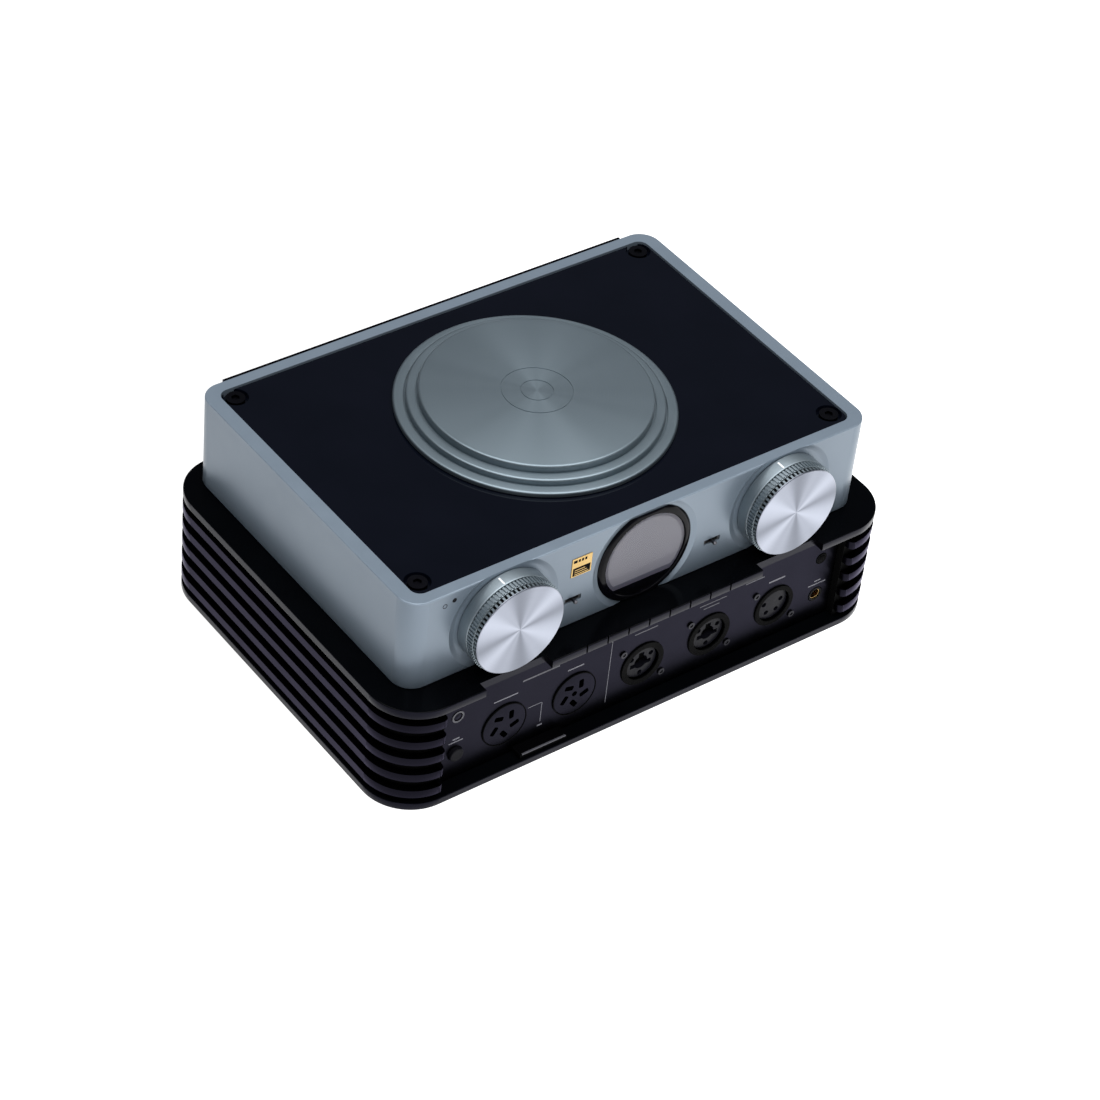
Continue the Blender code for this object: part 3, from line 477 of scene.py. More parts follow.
class Tree:
    """A geometry node tree with named inputs that ends in Realize Instances and Set Material."""

    def __init__(self, name: str) -> None:
        """Start an empty tree.

        Args:
            name: The tree's name.
        """
        self.group = bpy.data.node_groups.new(name, "GeometryNodeTree")
        self.names: dict[str, str] = {}
        self._socket("Geometry", "NodeSocketGeometry", None)
        self.entry = self.group.nodes.new("NodeGroupInput")
        self.group.interface.new_socket("Geometry", in_out="OUTPUT", socket_type="NodeSocketGeometry")

    def _socket(self, name: str, kind: str, value: object) -> None:
        """Add an input socket and keep its identifier.

        Args:
            name: The input's name.
            kind: Its socket type.
            value: Its first value, or None.
        """
        made = self.group.interface.new_socket(name, in_out="INPUT", socket_type=kind)
        if value is not None:
            made.default_value = value
        self.names[name] = made.identifier

    def size(self, name: str, value: float) -> bpy.types.NodeSocket:
        """Add a named length and return its socket inside the tree."""
        self._socket(name, "NodeSocketFloat", value)
        return self.entry.outputs[name]

    def count(self, name: str, value: int) -> bpy.types.NodeSocket:
        """Add a named count and return its socket inside the tree."""
        self._socket(name, "NodeSocketInt", value)
        return self.entry.outputs[name]

    def node(self, kind: str, **links: object) -> bpy.types.Node:
        """Add a node.

        Args:
            kind: The node's type.
            **links: Settings, and inputs as sockets or plain values. A double underscore stands for a space.

        Returns:
            The new node.
        """
        made = self.group.nodes.new(kind)
        for key, value in links.items():
            name = key.replace("__", " ")
            if hasattr(made, key):
                setattr(made, key, value)
            elif isinstance(value, bpy.types.NodeSocket):
                self.group.links.new(value, made.inputs[name])
            else:
                made.inputs[name].default_value = value
        return made

    def join(self, sockets: Iterable[bpy.types.NodeSocket]) -> bpy.types.NodeSocket:
        """Join several geometries.

        Args:
            sockets: The geometries.

        Returns:
            The joined geometry's socket.
        """
        made = self.group.nodes.new("GeometryNodeJoinGeometry")
        for socket in sockets:
            self.group.links.new(socket, made.inputs[0])
        return made.outputs[0]

    def end(self, geometry: bpy.types.NodeSocket) -> None:
        """Close the tree with its realize and material steps.

        Args:
            geometry: What the tree gives out.
        """
        self._socket("Finish", "NodeSocketMaterial", None)
        real = self.node("GeometryNodeRealizeInstances", Geometry=geometry)
        dressed = self.node("GeometryNodeSetMaterial", Geometry=real.outputs[0], Material=self.entry.outputs["Finish"])
        way_out = self.group.nodes.new("NodeGroupOutput")
        self.group.links.new(dressed.outputs[0], way_out.inputs[0])

    def grow(self, name: str, seed: bpy.types.Object, finish: bpy.types.Material, **values: object) -> bpy.types.Object:
        """Run the tree on a seed object and keep the result as a plain mesh.

        Args:
            name: The new piece's name.
            seed: The object whose points or edges the tree reads, which becomes the piece.
            finish: The material that the tree sets.
            **values: Values of the named inputs. A double underscore stands for a space.

        Returns:
            The piece, with no modifier left.
        """
        step = seed.modifiers.new("grow", "NODES")
        step.node_group = self.group
        step[self.names["Finish"]] = finish
        for key, value in values.items():
            step[self.names[key.replace("__", " ")]] = value
        frozen(seed)
        seed.name = name
        seed.data.name = name
        data = bmesh.new()
        data.from_mesh(seed.data)
        bmesh.ops.recalc_face_normals(data, faces=data.faces)
        data.to_mesh(seed.data)
        data.free()
        return seed


def screw_tree() -> Tree:
    """Tree that puts a hex-socket screw head on each point of its seed.

    Returns:
        The tree, with inputs Head Radius, Head Height and Socket Radius.
    """
    tree = Tree("hex_socket_screws")
    radius = tree.size("Head Radius", 0.002)
    height = tree.size("Head Height", 0.001)
    socket = tree.size("Socket Radius", 0.001)
    head = tree.node("GeometryNodeMeshCylinder", Vertices=28, Radius=radius, Depth=height)
    hexagon = tree.node("GeometryNodeMeshCylinder", Vertices=6, Radius=socket, Depth=height)
    lift = tree.node("ShaderNodeMath", operation="MULTIPLY")
    tree.group.links.new(height, lift.inputs[0])
    lift.inputs[1].default_value = 0.4
    raised = tree.node("ShaderNodeCombineXYZ", Z=lift.outputs[0])
    moved = tree.node("GeometryNodeTransform", Geometry=hexagon.outputs["Mesh"], Translation=raised.outputs[0])
    cut = tree.node("GeometryNodeMeshBoolean", operation="DIFFERENCE", solver="EXACT")
    tree.group.links.new(head.outputs["Mesh"], cut.inputs["Mesh 1"])
    tree.group.links.new(moved.outputs[0], cut.inputs["Mesh 2"])
    placed = tree.node("GeometryNodeInstanceOnPoints", Points=tree.entry.outputs["Geometry"], Instance=cut.outputs[0])
    tree.end(placed.outputs[0])
    return tree


def rim_tree() -> Tree:
    """Tree that sets teeth round a rim and keeps the seed inside them.

    Returns:
        The tree, with inputs Count, Radius, Tooth Width, Tooth Depth, Tooth Length and Height.
    """
    tree = Tree("toothed_rim")
    count = tree.count("Count", 90)
    radius = tree.size("Radius", 0.02)
    width = tree.size("Tooth Width", 0.001)
    depth = tree.size("Tooth Depth", 0.001)
    length = tree.size("Tooth Length", 0.003)
    height = tree.size("Height", 0.0)
    circle = tree.node("GeometryNodeMeshCircle", Vertices=count, Radius=radius)
    size = tree.node("ShaderNodeCombineXYZ", X=depth, Y=width, Z=length)
    tooth = tree.node("GeometryNodeMeshCube", Size=size.outputs[0])
    place = tree.node("GeometryNodeInputPosition")
    turn = tree.node("FunctionNodeAlignRotationToVector", axis="X", Vector=place.outputs[0])
    lift = tree.node("ShaderNodeCombineXYZ", Z=height)
    raised = tree.node("GeometryNodeTransform", Geometry=circle.outputs[0], Translation=lift.outputs[0])
    placed = tree.node(
        "GeometryNodeInstanceOnPoints",
        Points=raised.outputs[0],
        Instance=tooth.outputs["Mesh"],
        Rotation=turn.outputs[0],
    )
    flat = tree.node("ShaderNodeVectorMath", operation="MULTIPLY")
    tree.group.links.new(place.outputs[0], flat.inputs[0])
    flat.inputs[1].default_value = (1.0, 1.0, 0.0)
    tree.group.links.new(flat.outputs[0], turn.inputs["Vector"])
    tree.end(tree.join((tree.entry.outputs["Geometry"], placed.outputs[0])))
    return tree


def stack_tree() -> Tree:
    """Tree that stacks copies of its seed upwards at an even pitch.

    Returns:
        The tree, with inputs Count and Pitch.
    """
    tree = Tree("even_stack")
    count = tree.count("Count", 5)
    pitch = tree.size("Pitch", 0.009)
    step = tree.node("ShaderNodeCombineXYZ", Z=pitch)
    line = tree.node("GeometryNodeMeshLine", Count=count, Offset=step.outputs[0])
    placed = tree.node(
        "GeometryNodeInstanceOnPoints", Points=line.outputs[0], Instance=tree.entry.outputs["Geometry"]
    )
    tree.end(placed.outputs[0])
    return tree


def seed_points(name: str, points: Iterable[Sequence[float]]) -> bpy.types.Object:
    """Make an object of loose points for a tree to grow on.

    Args:
        name: The object's name.
        points: Where the points are.

    Returns:
        The seed object.
    """
    mesh = bpy.data.meshes.new(name)
    mesh.from_pydata([tuple(point) for point in points], [], [])
    return linked(name, mesh)


# ---------------------------------------------------------------- finishes


class Shade:
    """A material's node tree around its Principled shader."""

    def __init__(self, name: str) -> None:
        """Start a material.

        Args:
            name: The material's name.
        """
        self.material = bpy.data.materials.new(name)
        self.material.use_nodes = True
        self.nodes = self.material.node_tree.nodes
        self.links = self.material.node_tree.links
        self.shader = self.nodes["Principled BSDF"]
        self.place = self.nodes.new("ShaderNodeTexCoord").outputs["Object"]

    def set(self, **values: object) -> None:
        """Set plain values on the shader. A double underscore stands for a space."""
        for key, value in values.items():
            self.shader.inputs[key.replace("__", " ")].default_value = value

    def noise(self, scale: float, detail: float = 3.0, stretch: Point = (1.0, 1.0, 1.0)) -> bpy.types.NodeSocket:
        """Noise in object space, stretched along the axes.

        Args:
            scale: Waves per metre.
            detail: Octaves.
            stretch: Scale along each axis.

        Returns:
            The factor socket.
        """
        mapping = self.nodes.new("ShaderNodeMapping")
        mapping.inputs["Scale"].default_value = stretch
        self.links.new(self.place, mapping.inputs["Vector"])
        made = self.nodes.new("ShaderNodeTexNoise")
        made.inputs["Scale"].default_value = scale
        made.inputs["Detail"].default_value = detail
        self.links.new(mapping.outputs[0], made.inputs["Vector"])
        return made.outputs["Fac"]

    def across(self, centre: Point, axis: str) -> bpy.types.NodeSocket:
        """Vector from an axis to the shaded point, square to the axis.

        Args:
            centre: A point on the axis.
            axis: X, Y or Z.

        Returns:
            The vector socket.
        """
        shift = self.nodes.new("ShaderNodeVectorMath")
        shift.operation = "SUBTRACT"
        shift.inputs[1].default_value = centre
        self.links.new(self.place, shift.inputs[0])
        flat = self.nodes.new("ShaderNodeVectorMath")
        flat.operation = "MULTIPLY"
        flat.inputs[1].default_value = tuple(0.0 if name == axis else 1.0 for name in "XYZ")
        self.links.new(shift.outputs[0], flat.inputs[0])
        return flat.outputs[0]

    def rings(self, centre: Point, axis: str, scale: float) -> bpy.types.NodeSocket:
        """Concentric turning marks about an axis.

        Args:
            centre: A point on the axis.
            axis: X, Y or Z.
            scale: Marks per metre of radius.

        Returns:
            The factor socket.
        """
        length = self.nodes.new("ShaderNodeVectorMath")
        length.operation = "LENGTH"
        self.links.new(self.across(centre, axis), length.inputs[0])
        made = self.nodes.new("ShaderNodeTexNoise")
        made.noise_dimensions = "1D"
        made.inputs["Scale"].default_value = scale
        made.inputs["Detail"].default_value = 2.0
        self.links.new(length.outputs["Value"], made.inputs["W"])
        return made.outputs["Fac"]

    def calc(self, operation: str, one: bpy.types.NodeSocket, two: bpy.types.NodeSocket) -> bpy.types.NodeSocket:
        """Combine two factors by arithmetic.

        Args:
            operation: ADD, SUBTRACT or MULTIPLY.
            one: First factor.
            two: Second factor.

        Returns:
            The result's socket.
        """
        made = self.nodes.new("ShaderNodeMath")
        made.operation = operation
        self.links.new(one, made.inputs[0])
        self.links.new(two, made.inputs[1])
        return made.outputs[0]

    def painted_highlight_wedges(self, centre: Point, axis: str, scale: float, seed: float) -> bpy.types.NodeSocket:
        """Painted highlight wedges about an axis that repeat every half turn, where light would lie on a turned face.

        Args:
            centre: A point on the axis.
            axis: X, Y or Z.
            scale: How many painted highlight wedges there are.
            seed: Which pattern of painted highlight wedges.

        Returns:
            The factor socket.
        """
        unit = self.nodes.new("ShaderNodeVectorMath")
        unit.operation = "NORMALIZE"
        self.links.new(self.across(centre, axis), unit.inputs[0])
        parts = self.nodes.new("ShaderNodeSeparateXYZ")
        self.links.new(unit.outputs[0], parts.inputs[0])
        one, two = (parts.outputs[name] for name in "XYZ" if name != axis)
        product = self.calc("MULTIPLY", one, two)
        double = self.nodes.new("ShaderNodeCombineXYZ")
        squares = (self.calc("MULTIPLY", one, one), self.calc("MULTIPLY", two, two))
        self.links.new(self.calc("SUBTRACT", *squares), double.inputs["X"])
        self.links.new(self.calc("ADD", product, product), double.inputs["Y"])
        double.inputs["Z"].default_value = seed
        made = self.nodes.new("ShaderNodeTexNoise")
        made.inputs["Scale"].default_value = scale
        made.inputs["Detail"].default_value = 1.0
        self.links.new(double.outputs[0], made.inputs["Vector"])
        return made.outputs["Fac"]

    def ranged(self, factor: bpy.types.NodeSocket, low: float, high: float) -> bpy.types.NodeSocket:
        """Map a factor's middle range to a range of values.

        Args:
            factor: The factor.
            low: Value at the middle range's lower end.
            high: Value at its upper end.

        Returns:
            The value's socket.
        """
        made = self.nodes.new("ShaderNodeMapRange")
        made.inputs["From Min"].default_value, made.inputs["From Max"].default_value = MIDDLE_RANGE
        made.inputs["To Min"].default_value = low
        made.inputs["To Max"].default_value = high
        self.links.new(factor, made.inputs["Value"])
        return made.outputs["Result"]

    def blended(self, factor: bpy.types.NodeSocket, one: Point, two: Point) -> bpy.types.NodeSocket:
        """Blend two colours over a factor's middle range.

        Args:
            factor: The factor.
            one: Colour at the middle range's lower end.
            two: Colour at its upper end.

        Returns:
            The colour's socket.
        """
        made = self.nodes.new("ShaderNodeValToRGB")
        for stop, position, colour in zip(made.color_ramp.elements, MIDDLE_RANGE, (one, two)):
            stop.position = position
            stop.color = (*colour, 1.0)
        self.links.new(factor, made.inputs["Fac"])
        return made.outputs["Color"]

    def bump(self, factor: bpy.types.NodeSocket, height: float, strength: float = 1.0) -> None:
        """Give the surface a fine relief.

        Args:
            factor: The relief's height factor.
            height: Its height in metres.
            strength: Its strength.
        """
        made = self.nodes.new("ShaderNodeBump")
        made.inputs["Distance"].default_value = height
        made.inputs["Strength"].default_value = strength
        self.links.new(factor, made.inputs["Height"])
        if self.shader.inputs["Normal"].links:
            self.links.new(self.shader.inputs["Normal"].links[0].from_socket, made.inputs["Normal"])
        self.links.new(made.outputs["Normal"], self.shader.inputs["Normal"])

    def feed(self, **sockets: bpy.types.NodeSocket) -> None:
        """Link sockets to the shader. A double underscore stands for a space."""
        for key, socket in sockets.items():
            self.links.new(socket, self.shader.inputs[key.replace("__", " ")])

    def worn(self, one: Point, two: Point, rough: tuple[float, float], grain: float, relief: float) -> None:
        """Give the slight change of tone, gloss and surface that a real part has.

        Args:
            one: Darker colour.
            two: Lighter colour.
            rough: Lowest and highest roughness.
            grain: Fine grains per metre.
            relief: Height of the grain.
        """
        broad = self.noise(BROAD_WAVES, BROAD_DETAIL)
        self.feed(Base__Color=self.blended(broad, one, two), Roughness=self.ranged(self.noise(GLOSS_WAVES), *rough))
        self.bump(self.noise(grain, 2.0), relief, 0.6)


@dataclass(frozen=True)
class Anodised:
    """Blasted and anodised aluminium, with an optional painted highlight on its top face."""

    name: str
    dark: Point
    light: Point
    rough: tuple[float, float] = (0.34, 0.42)
    grain: float = 2600.0
    relief: float = 0.000012
    metallic: float = 1.0
    edge: Point = (1.0, 1.0, 1.0)
    rim: float = 0.0
    top_highlight_depth: float = 0.0009
    top_highlight_gain: float = 1.25

    def made(self) -> bpy.types.Material:
        """Build the material.

        Returns:
            The finished material.
        """
        shade = Shade(self.name)
        shade.set(Metallic=self.metallic, Specular__Tint=(*self.edge, 1.0))
        shade.worn(self.dark, self.light, self.rough, self.grain, self.relief)
        if self.rim:
            self.paint_top_highlight(shade)
        return shade.material

    def paint_top_highlight(self, shade: Shade) -> None:
        """Paint the top face lighter than the sides: a painted highlight for the light it catches from above.

        Args:
            shade: The material's shader.
        """
        side = shade.shader.inputs["Base Color"].links[0].from_socket
        apart = shade.nodes.new("ShaderNodeSeparateXYZ")
        shade.links.new(shade.place, apart.inputs["Vector"])
        height = shade.nodes.new("ShaderNodeMapRange")
        height.inputs["From Min"].default_value = self.rim - self.top_highlight_depth
        height.inputs["From Max"].default_value = self.rim
        shade.links.new(apart.outputs["Z"], height.inputs["Value"])
        # Lighter copies of the side colours: painted highlight for the top face.
        cut, bright = (tuple(share * self.top_highlight_gain for share in colour) for colour in (self.dark, self.light))
        top = shade.blended(shade.noise(BROAD_WAVES, BROAD_DETAIL), cut, bright)
        mix = shade.nodes.new("ShaderNodeMix")
        mix.data_type = "RGBA"
        for index, socket in zip(COLOUR_MIX_INPUTS, (height.outputs["Result"], side, top)):
            shade.links.new(socket, mix.inputs[index])
        shade.feed(Base__Color=mix.outputs[COLOUR_MIX_OUTPUT])


@dataclass(frozen=True)
class SpunWithPaintedHighlights:
    """Metal turned on a lathe, with turning marks about its axis and painted highlight wedges in its colour."""

    name: str
    dark: Point
    light: Point
    centre: Point
    axis: str
    rough: tuple[float, float] = (0.22, 0.3)
    anisotropy: float = 0.8
    marks: float = 2400.0
    highlight_spokes: float = 0.95
    seed: float = 0.0

    def made(self) -> bpy.types.Material:
        """Build the material.

        Returns:
            The finished material.
        """
        shade = Shade(self.name)
        shade.set(Metallic=1.0, Anisotropic=self.anisotropy, Anisotropic__Rotation=0.25)
        marks = shade.rings(self.centre, self.axis, self.marks)
        painted_highlight_wedges = shade.painted_highlight_wedges(self.centre, self.axis, self.highlight_spokes, self.seed)
        # Colour blended over the wedges: painted highlights on top of the real anisotropic gloss.
        shade.feed(
            Base__Color=shade.blended(painted_highlight_wedges, self.dark, self.light), Roughness=shade.ranged(marks, *self.rough)
        )
        shade.bump(marks, 0.000002, 0.4)
        along = shade.nodes.new("ShaderNodeTangent")
        along.direction_type = "UV_MAP"
        along.uv_map = "turning"
        shade.feed(Tangent=along.outputs[0])
        return shade.material


@dataclass(frozen=True)
class Gloss:
    """Polished black glass or lacquer, with a faint ripple."""

    name: str
    dark: Point
    light: Point
    rough: tuple[float, float] = (0.05, 0.09)
    ripple: float = 0.000004
    ior: float = 1.45

    def made(self) -> bpy.types.Material:
        """Build the material.

        Returns:
            The finished material.
        """
        shade = Shade(self.name)
        shade.set(IOR=self.ior)
        shade.worn(self.dark, self.light, self.rough, 260.0, self.ripple)
        return shade.material


@dataclass(frozen=True)
class Moulded:
    """Moulded plastic, rubber, laminate or ink, with a fine texture."""

    name: str
    dark: Point
    light: Point
    rough: tuple[float, float] = (0.45, 0.58)
    grain: float = 3200.0
    relief: float = 0.00002
    ior: float = 1.45

    def made(self) -> bpy.types.Material:
        """Build the material.

        Returns:
            The finished material.
        """
        shade = Shade(self.name)
        shade.set(IOR=self.ior)
        shade.worn(self.dark, self.light, self.rough, self.grain, self.relief)
        return shade.material


@dataclass(frozen=True)
class Plated:
    """Plated or machined bright metal."""

    name: str
    dark: Point
    light: Point
    rough: tuple[float, float] = (0.14, 0.24)

    def made(self) -> bpy.types.Material:
        """Build the material.

        Returns:
            The finished material.
        """
        shade = Shade(self.name)
        shade.set(Metallic=1.0)
        shade.worn(self.dark, self.light, self.rough, 1800.0, 0.000006)
        return shade.material


@dataclass(frozen=True)
class ClearGlass:
    """Clear glass that lets what is behind it show."""

    name: str
    tint: Point = (0.004, 0.004, 0.006)
    alpha: float = 0.1

    def made(self) -> bpy.types.Material:
        """Build the material.

        Returns:
            The finished material.
        """
        shade = Shade(self.name)
        shade.set(Alpha=self.alpha, IOR=1.5)
        shade.worn(self.tint, self.tint, (0.02, 0.05), 200.0, 0.000001)
        return shade.material


@dataclass(frozen=True)
class PaintedReflectionScreen:
    """A blank display that glows faintly and not quite evenly; the glow is painted reflection of its glass."""

    name: str
    tint: Point
    glow: float

    def made(self) -> bpy.types.Material:
        """Build the material.

        Returns:
            The finished material.
        """
        shade = Shade(self.name)
        # Emission in the screen's tint: painted reflection of the blank glass.
        shade.set(Emission__Strength=self.glow)
        dim = tuple(share * 0.9 for share in self.tint)
        shade.worn(dim, self.tint, (0.3, 0.4), 500.0, 0.0000002)
        colour = shade.blended(shade.noise(16.0, 2.0), dim, self.tint)
        shade.feed(Emission__Color=colour)
        return shade.material


@dataclass
class Finishes:
    """All finishes of the amplifier, each made once."""

    made: dict[str, bpy.types.Material] = field(default_factory=dict)

    def __post_init__(self) -> None:
        """Build the finishes that pieces share."""
        for finish in (
            # case_silver gets a painted highlight on its top face, up to the rim height given.
            Anodised("case_silver", (0.157, 0.195, 0.238), (0.168, 0.208, 0.252), (0.3, 0.35), relief=0.000003,
                     metallic=0.4, rim=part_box("upper_case")[1][2]),
            Anodised("collar_grey", (0.24, 0.28, 0.31), (0.28, 0.33, 0.36), (0.46, 0.55)),
            Anodised("fin_black", (0.0056, 0.0053, 0.0086), (0.008, 0.0076, 0.0118), (0.3, 0.38),
                     edge=(0.74, 0.72, 0.84)),
            Anodised("panel_black", (0.0056, 0.0056, 0.008), (0.007, 0.007, 0.0098), (0.28, 0.36),
                     edge=(0.74, 0.73, 0.84)),
            Anodised("edge_grey", (0.008, 0.008, 0.0125), (0.0102, 0.0102, 0.0155), (0.28, 0.36)),
            Anodised("inside_black", (0.012, 0.012, 0.014), (0.02, 0.02, 0.024), (0.4, 0.5)),
            Gloss("panel_gloss", (0.0012, 0.0018, 0.0046), (0.0018, 0.0024, 0.0058), ior=1.33),
            Gloss("deck_gloss", (0.0008, 0.001, 0.0015), (0.0013, 0.0016, 0.0022), (0.12, 0.18), 0.000003, 1.11),
            Gloss("bezel_gloss", (0.001, 0.001, 0.002), (0.002, 0.002, 0.003), (0.08, 0.12), 0.000002, 1.16),
            Moulded("socket_black", (0.001, 0.001, 0.0015), (0.002, 0.002, 0.0026), (0.4, 0.5), ior=1.15),
            Moulded("hole_black", (0.0004, 0.0004, 0.0005), (0.0008, 0.0008, 0.001), (0.7, 0.8), ior=1.15),
            Moulded("socket_grey", (0.0045, 0.0045, 0.0075), (0.0065, 0.0065, 0.0105), (0.4, 0.5), ior=1.22),
            Moulded("black_plastic", (0.008, 0.008, 0.009), (0.015, 0.015, 0.017)),
            Moulded("card_plastic", (0.0006, 0.0006, 0.0009), (0.001, 0.001, 0.0014), (0.5, 0.6), ior=1.08),
            Moulded("button_black", (0.004, 0.004, 0.006), (0.006, 0.006, 0.008), (0.3, 0.4), ior=1.12),
            Moulded("insulator_white", (0.5, 0.5, 0.5), (0.6, 0.6, 0.6), (0.35, 0.45)),
            Moulded("ink_grey", (0.12, 0.12, 0.14), (0.15, 0.15, 0.175)),
            Moulded("faint_ink_and_edge_highlight", (0.06, 0.06, 0.072), (0.075, 0.075, 0.09)),
            Moulded("ink_white", (0.7, 0.72, 0.74), (0.82, 0.84, 0.86)),
            Moulded("rubber_black", (0.01, 0.01, 0.01), (0.02, 0.02, 0.02), (0.7, 0.85), 1500.0, 0.00004),
            Moulded("board_green", (0.008, 0.05, 0.022), (0.014, 0.075, 0.035), (0.35, 0.5)),
            Moulded("valve_socket_cream", (0.45, 0.42, 0.36), (0.55, 0.52, 0.46)),
            Plated("bright_steel", (0.5, 0.5, 0.52), (0.62, 0.62, 0.65)),
            Plated("lever_steel", (0.1, 0.1, 0.11), (0.14, 0.14, 0.155), (0.35, 0.45)),
            Plated("dark_screw", (0.005, 0.005, 0.007), (0.008, 0.008, 0.011), (0.4, 0.5)),
            Plated("flange_screw", (0.022, 0.022, 0.027), (0.034, 0.034, 0.04), (0.35, 0.45)),
            Plated("gold", (0.44, 0.29, 0.11), (0.56, 0.4, 0.17), (0.2, 0.3)),
            Plated("core_iron", (0.1, 0.1, 0.11), (0.17, 0.17, 0.18), (0.4, 0.55)),
            ClearGlass("clear_glass"),
            # Both screen finishes glow as painted reflection.
            PaintedReflectionScreen("screen_lilac", (0.14, 0.138, 0.164), 0.4),
            PaintedReflectionScreen("screen_border", (0.042, 0.041, 0.058), 0.6),
        ):
            self.made[finish.name] = finish.made()

    def __getitem__(self, name: str) -> bpy.types.Material:
        """The finish of that name."""
        return self.made[name]


def fit(
    piece: bpy.types.Object,
    finish: bpy.types.Material,
    body: Body,
    stands_for: Sequence[str] = (),
) -> bpy.types.Object:
    """Dress a piece, fasten it to its body and hide the nodes it stands for.

    Args:
        piece: The finished mesh.
        finish: Its material.
        body: The body that it moves with.
        stands_for: Frame nodes that it replaces.

    Returns:
        The same piece.
    """
    if not piece.data.materials or piece.data.materials[0] is None:
        piece.data.materials.clear()
        piece.data.materials.append(finish)
    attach(piece, body.value)
    if stands_for:
        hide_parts(*stands_for)
    LOG.info("%s rides on %s", piece.name, body.value)
    return piece


def seated(
    piece: bpy.types.Object,
    stand: Matrix,
    finish: bpy.types.Material,
    body: Body,
    stands_for: Sequence[str] = (),
) -> bpy.types.Object:
    """Put a piece in its place, shade it smooth and fit it.

    Args:
        piece: The shaped mesh.
        stand: Where its points go.
        finish: Its material.
        body: The body that it moves with.
        stands_for: Frame nodes that it replaces.

    Returns:
        The same piece.
    """
    put(piece, stand)
    smooth(piece)
    return fit(piece, finish, body, stands_for)


def dress_node(node: str, finish: bpy.types.Material) -> None:
    """Give a frame node its finish.

    Args:
        node: The node's name.
        finish: Its material.
    """
    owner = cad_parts[node]
    owner.data.materials.clear()
    owner.data.materials.append(finish)
    LOG.info("%s keeps its shape", node)


def middle(node: str) -> Vector:
    """Middle of a node's box."""
    low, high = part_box(node)
    return (Vector(low) + Vector(high)) / 2


# ---------------------------------------------------------------- lower unit


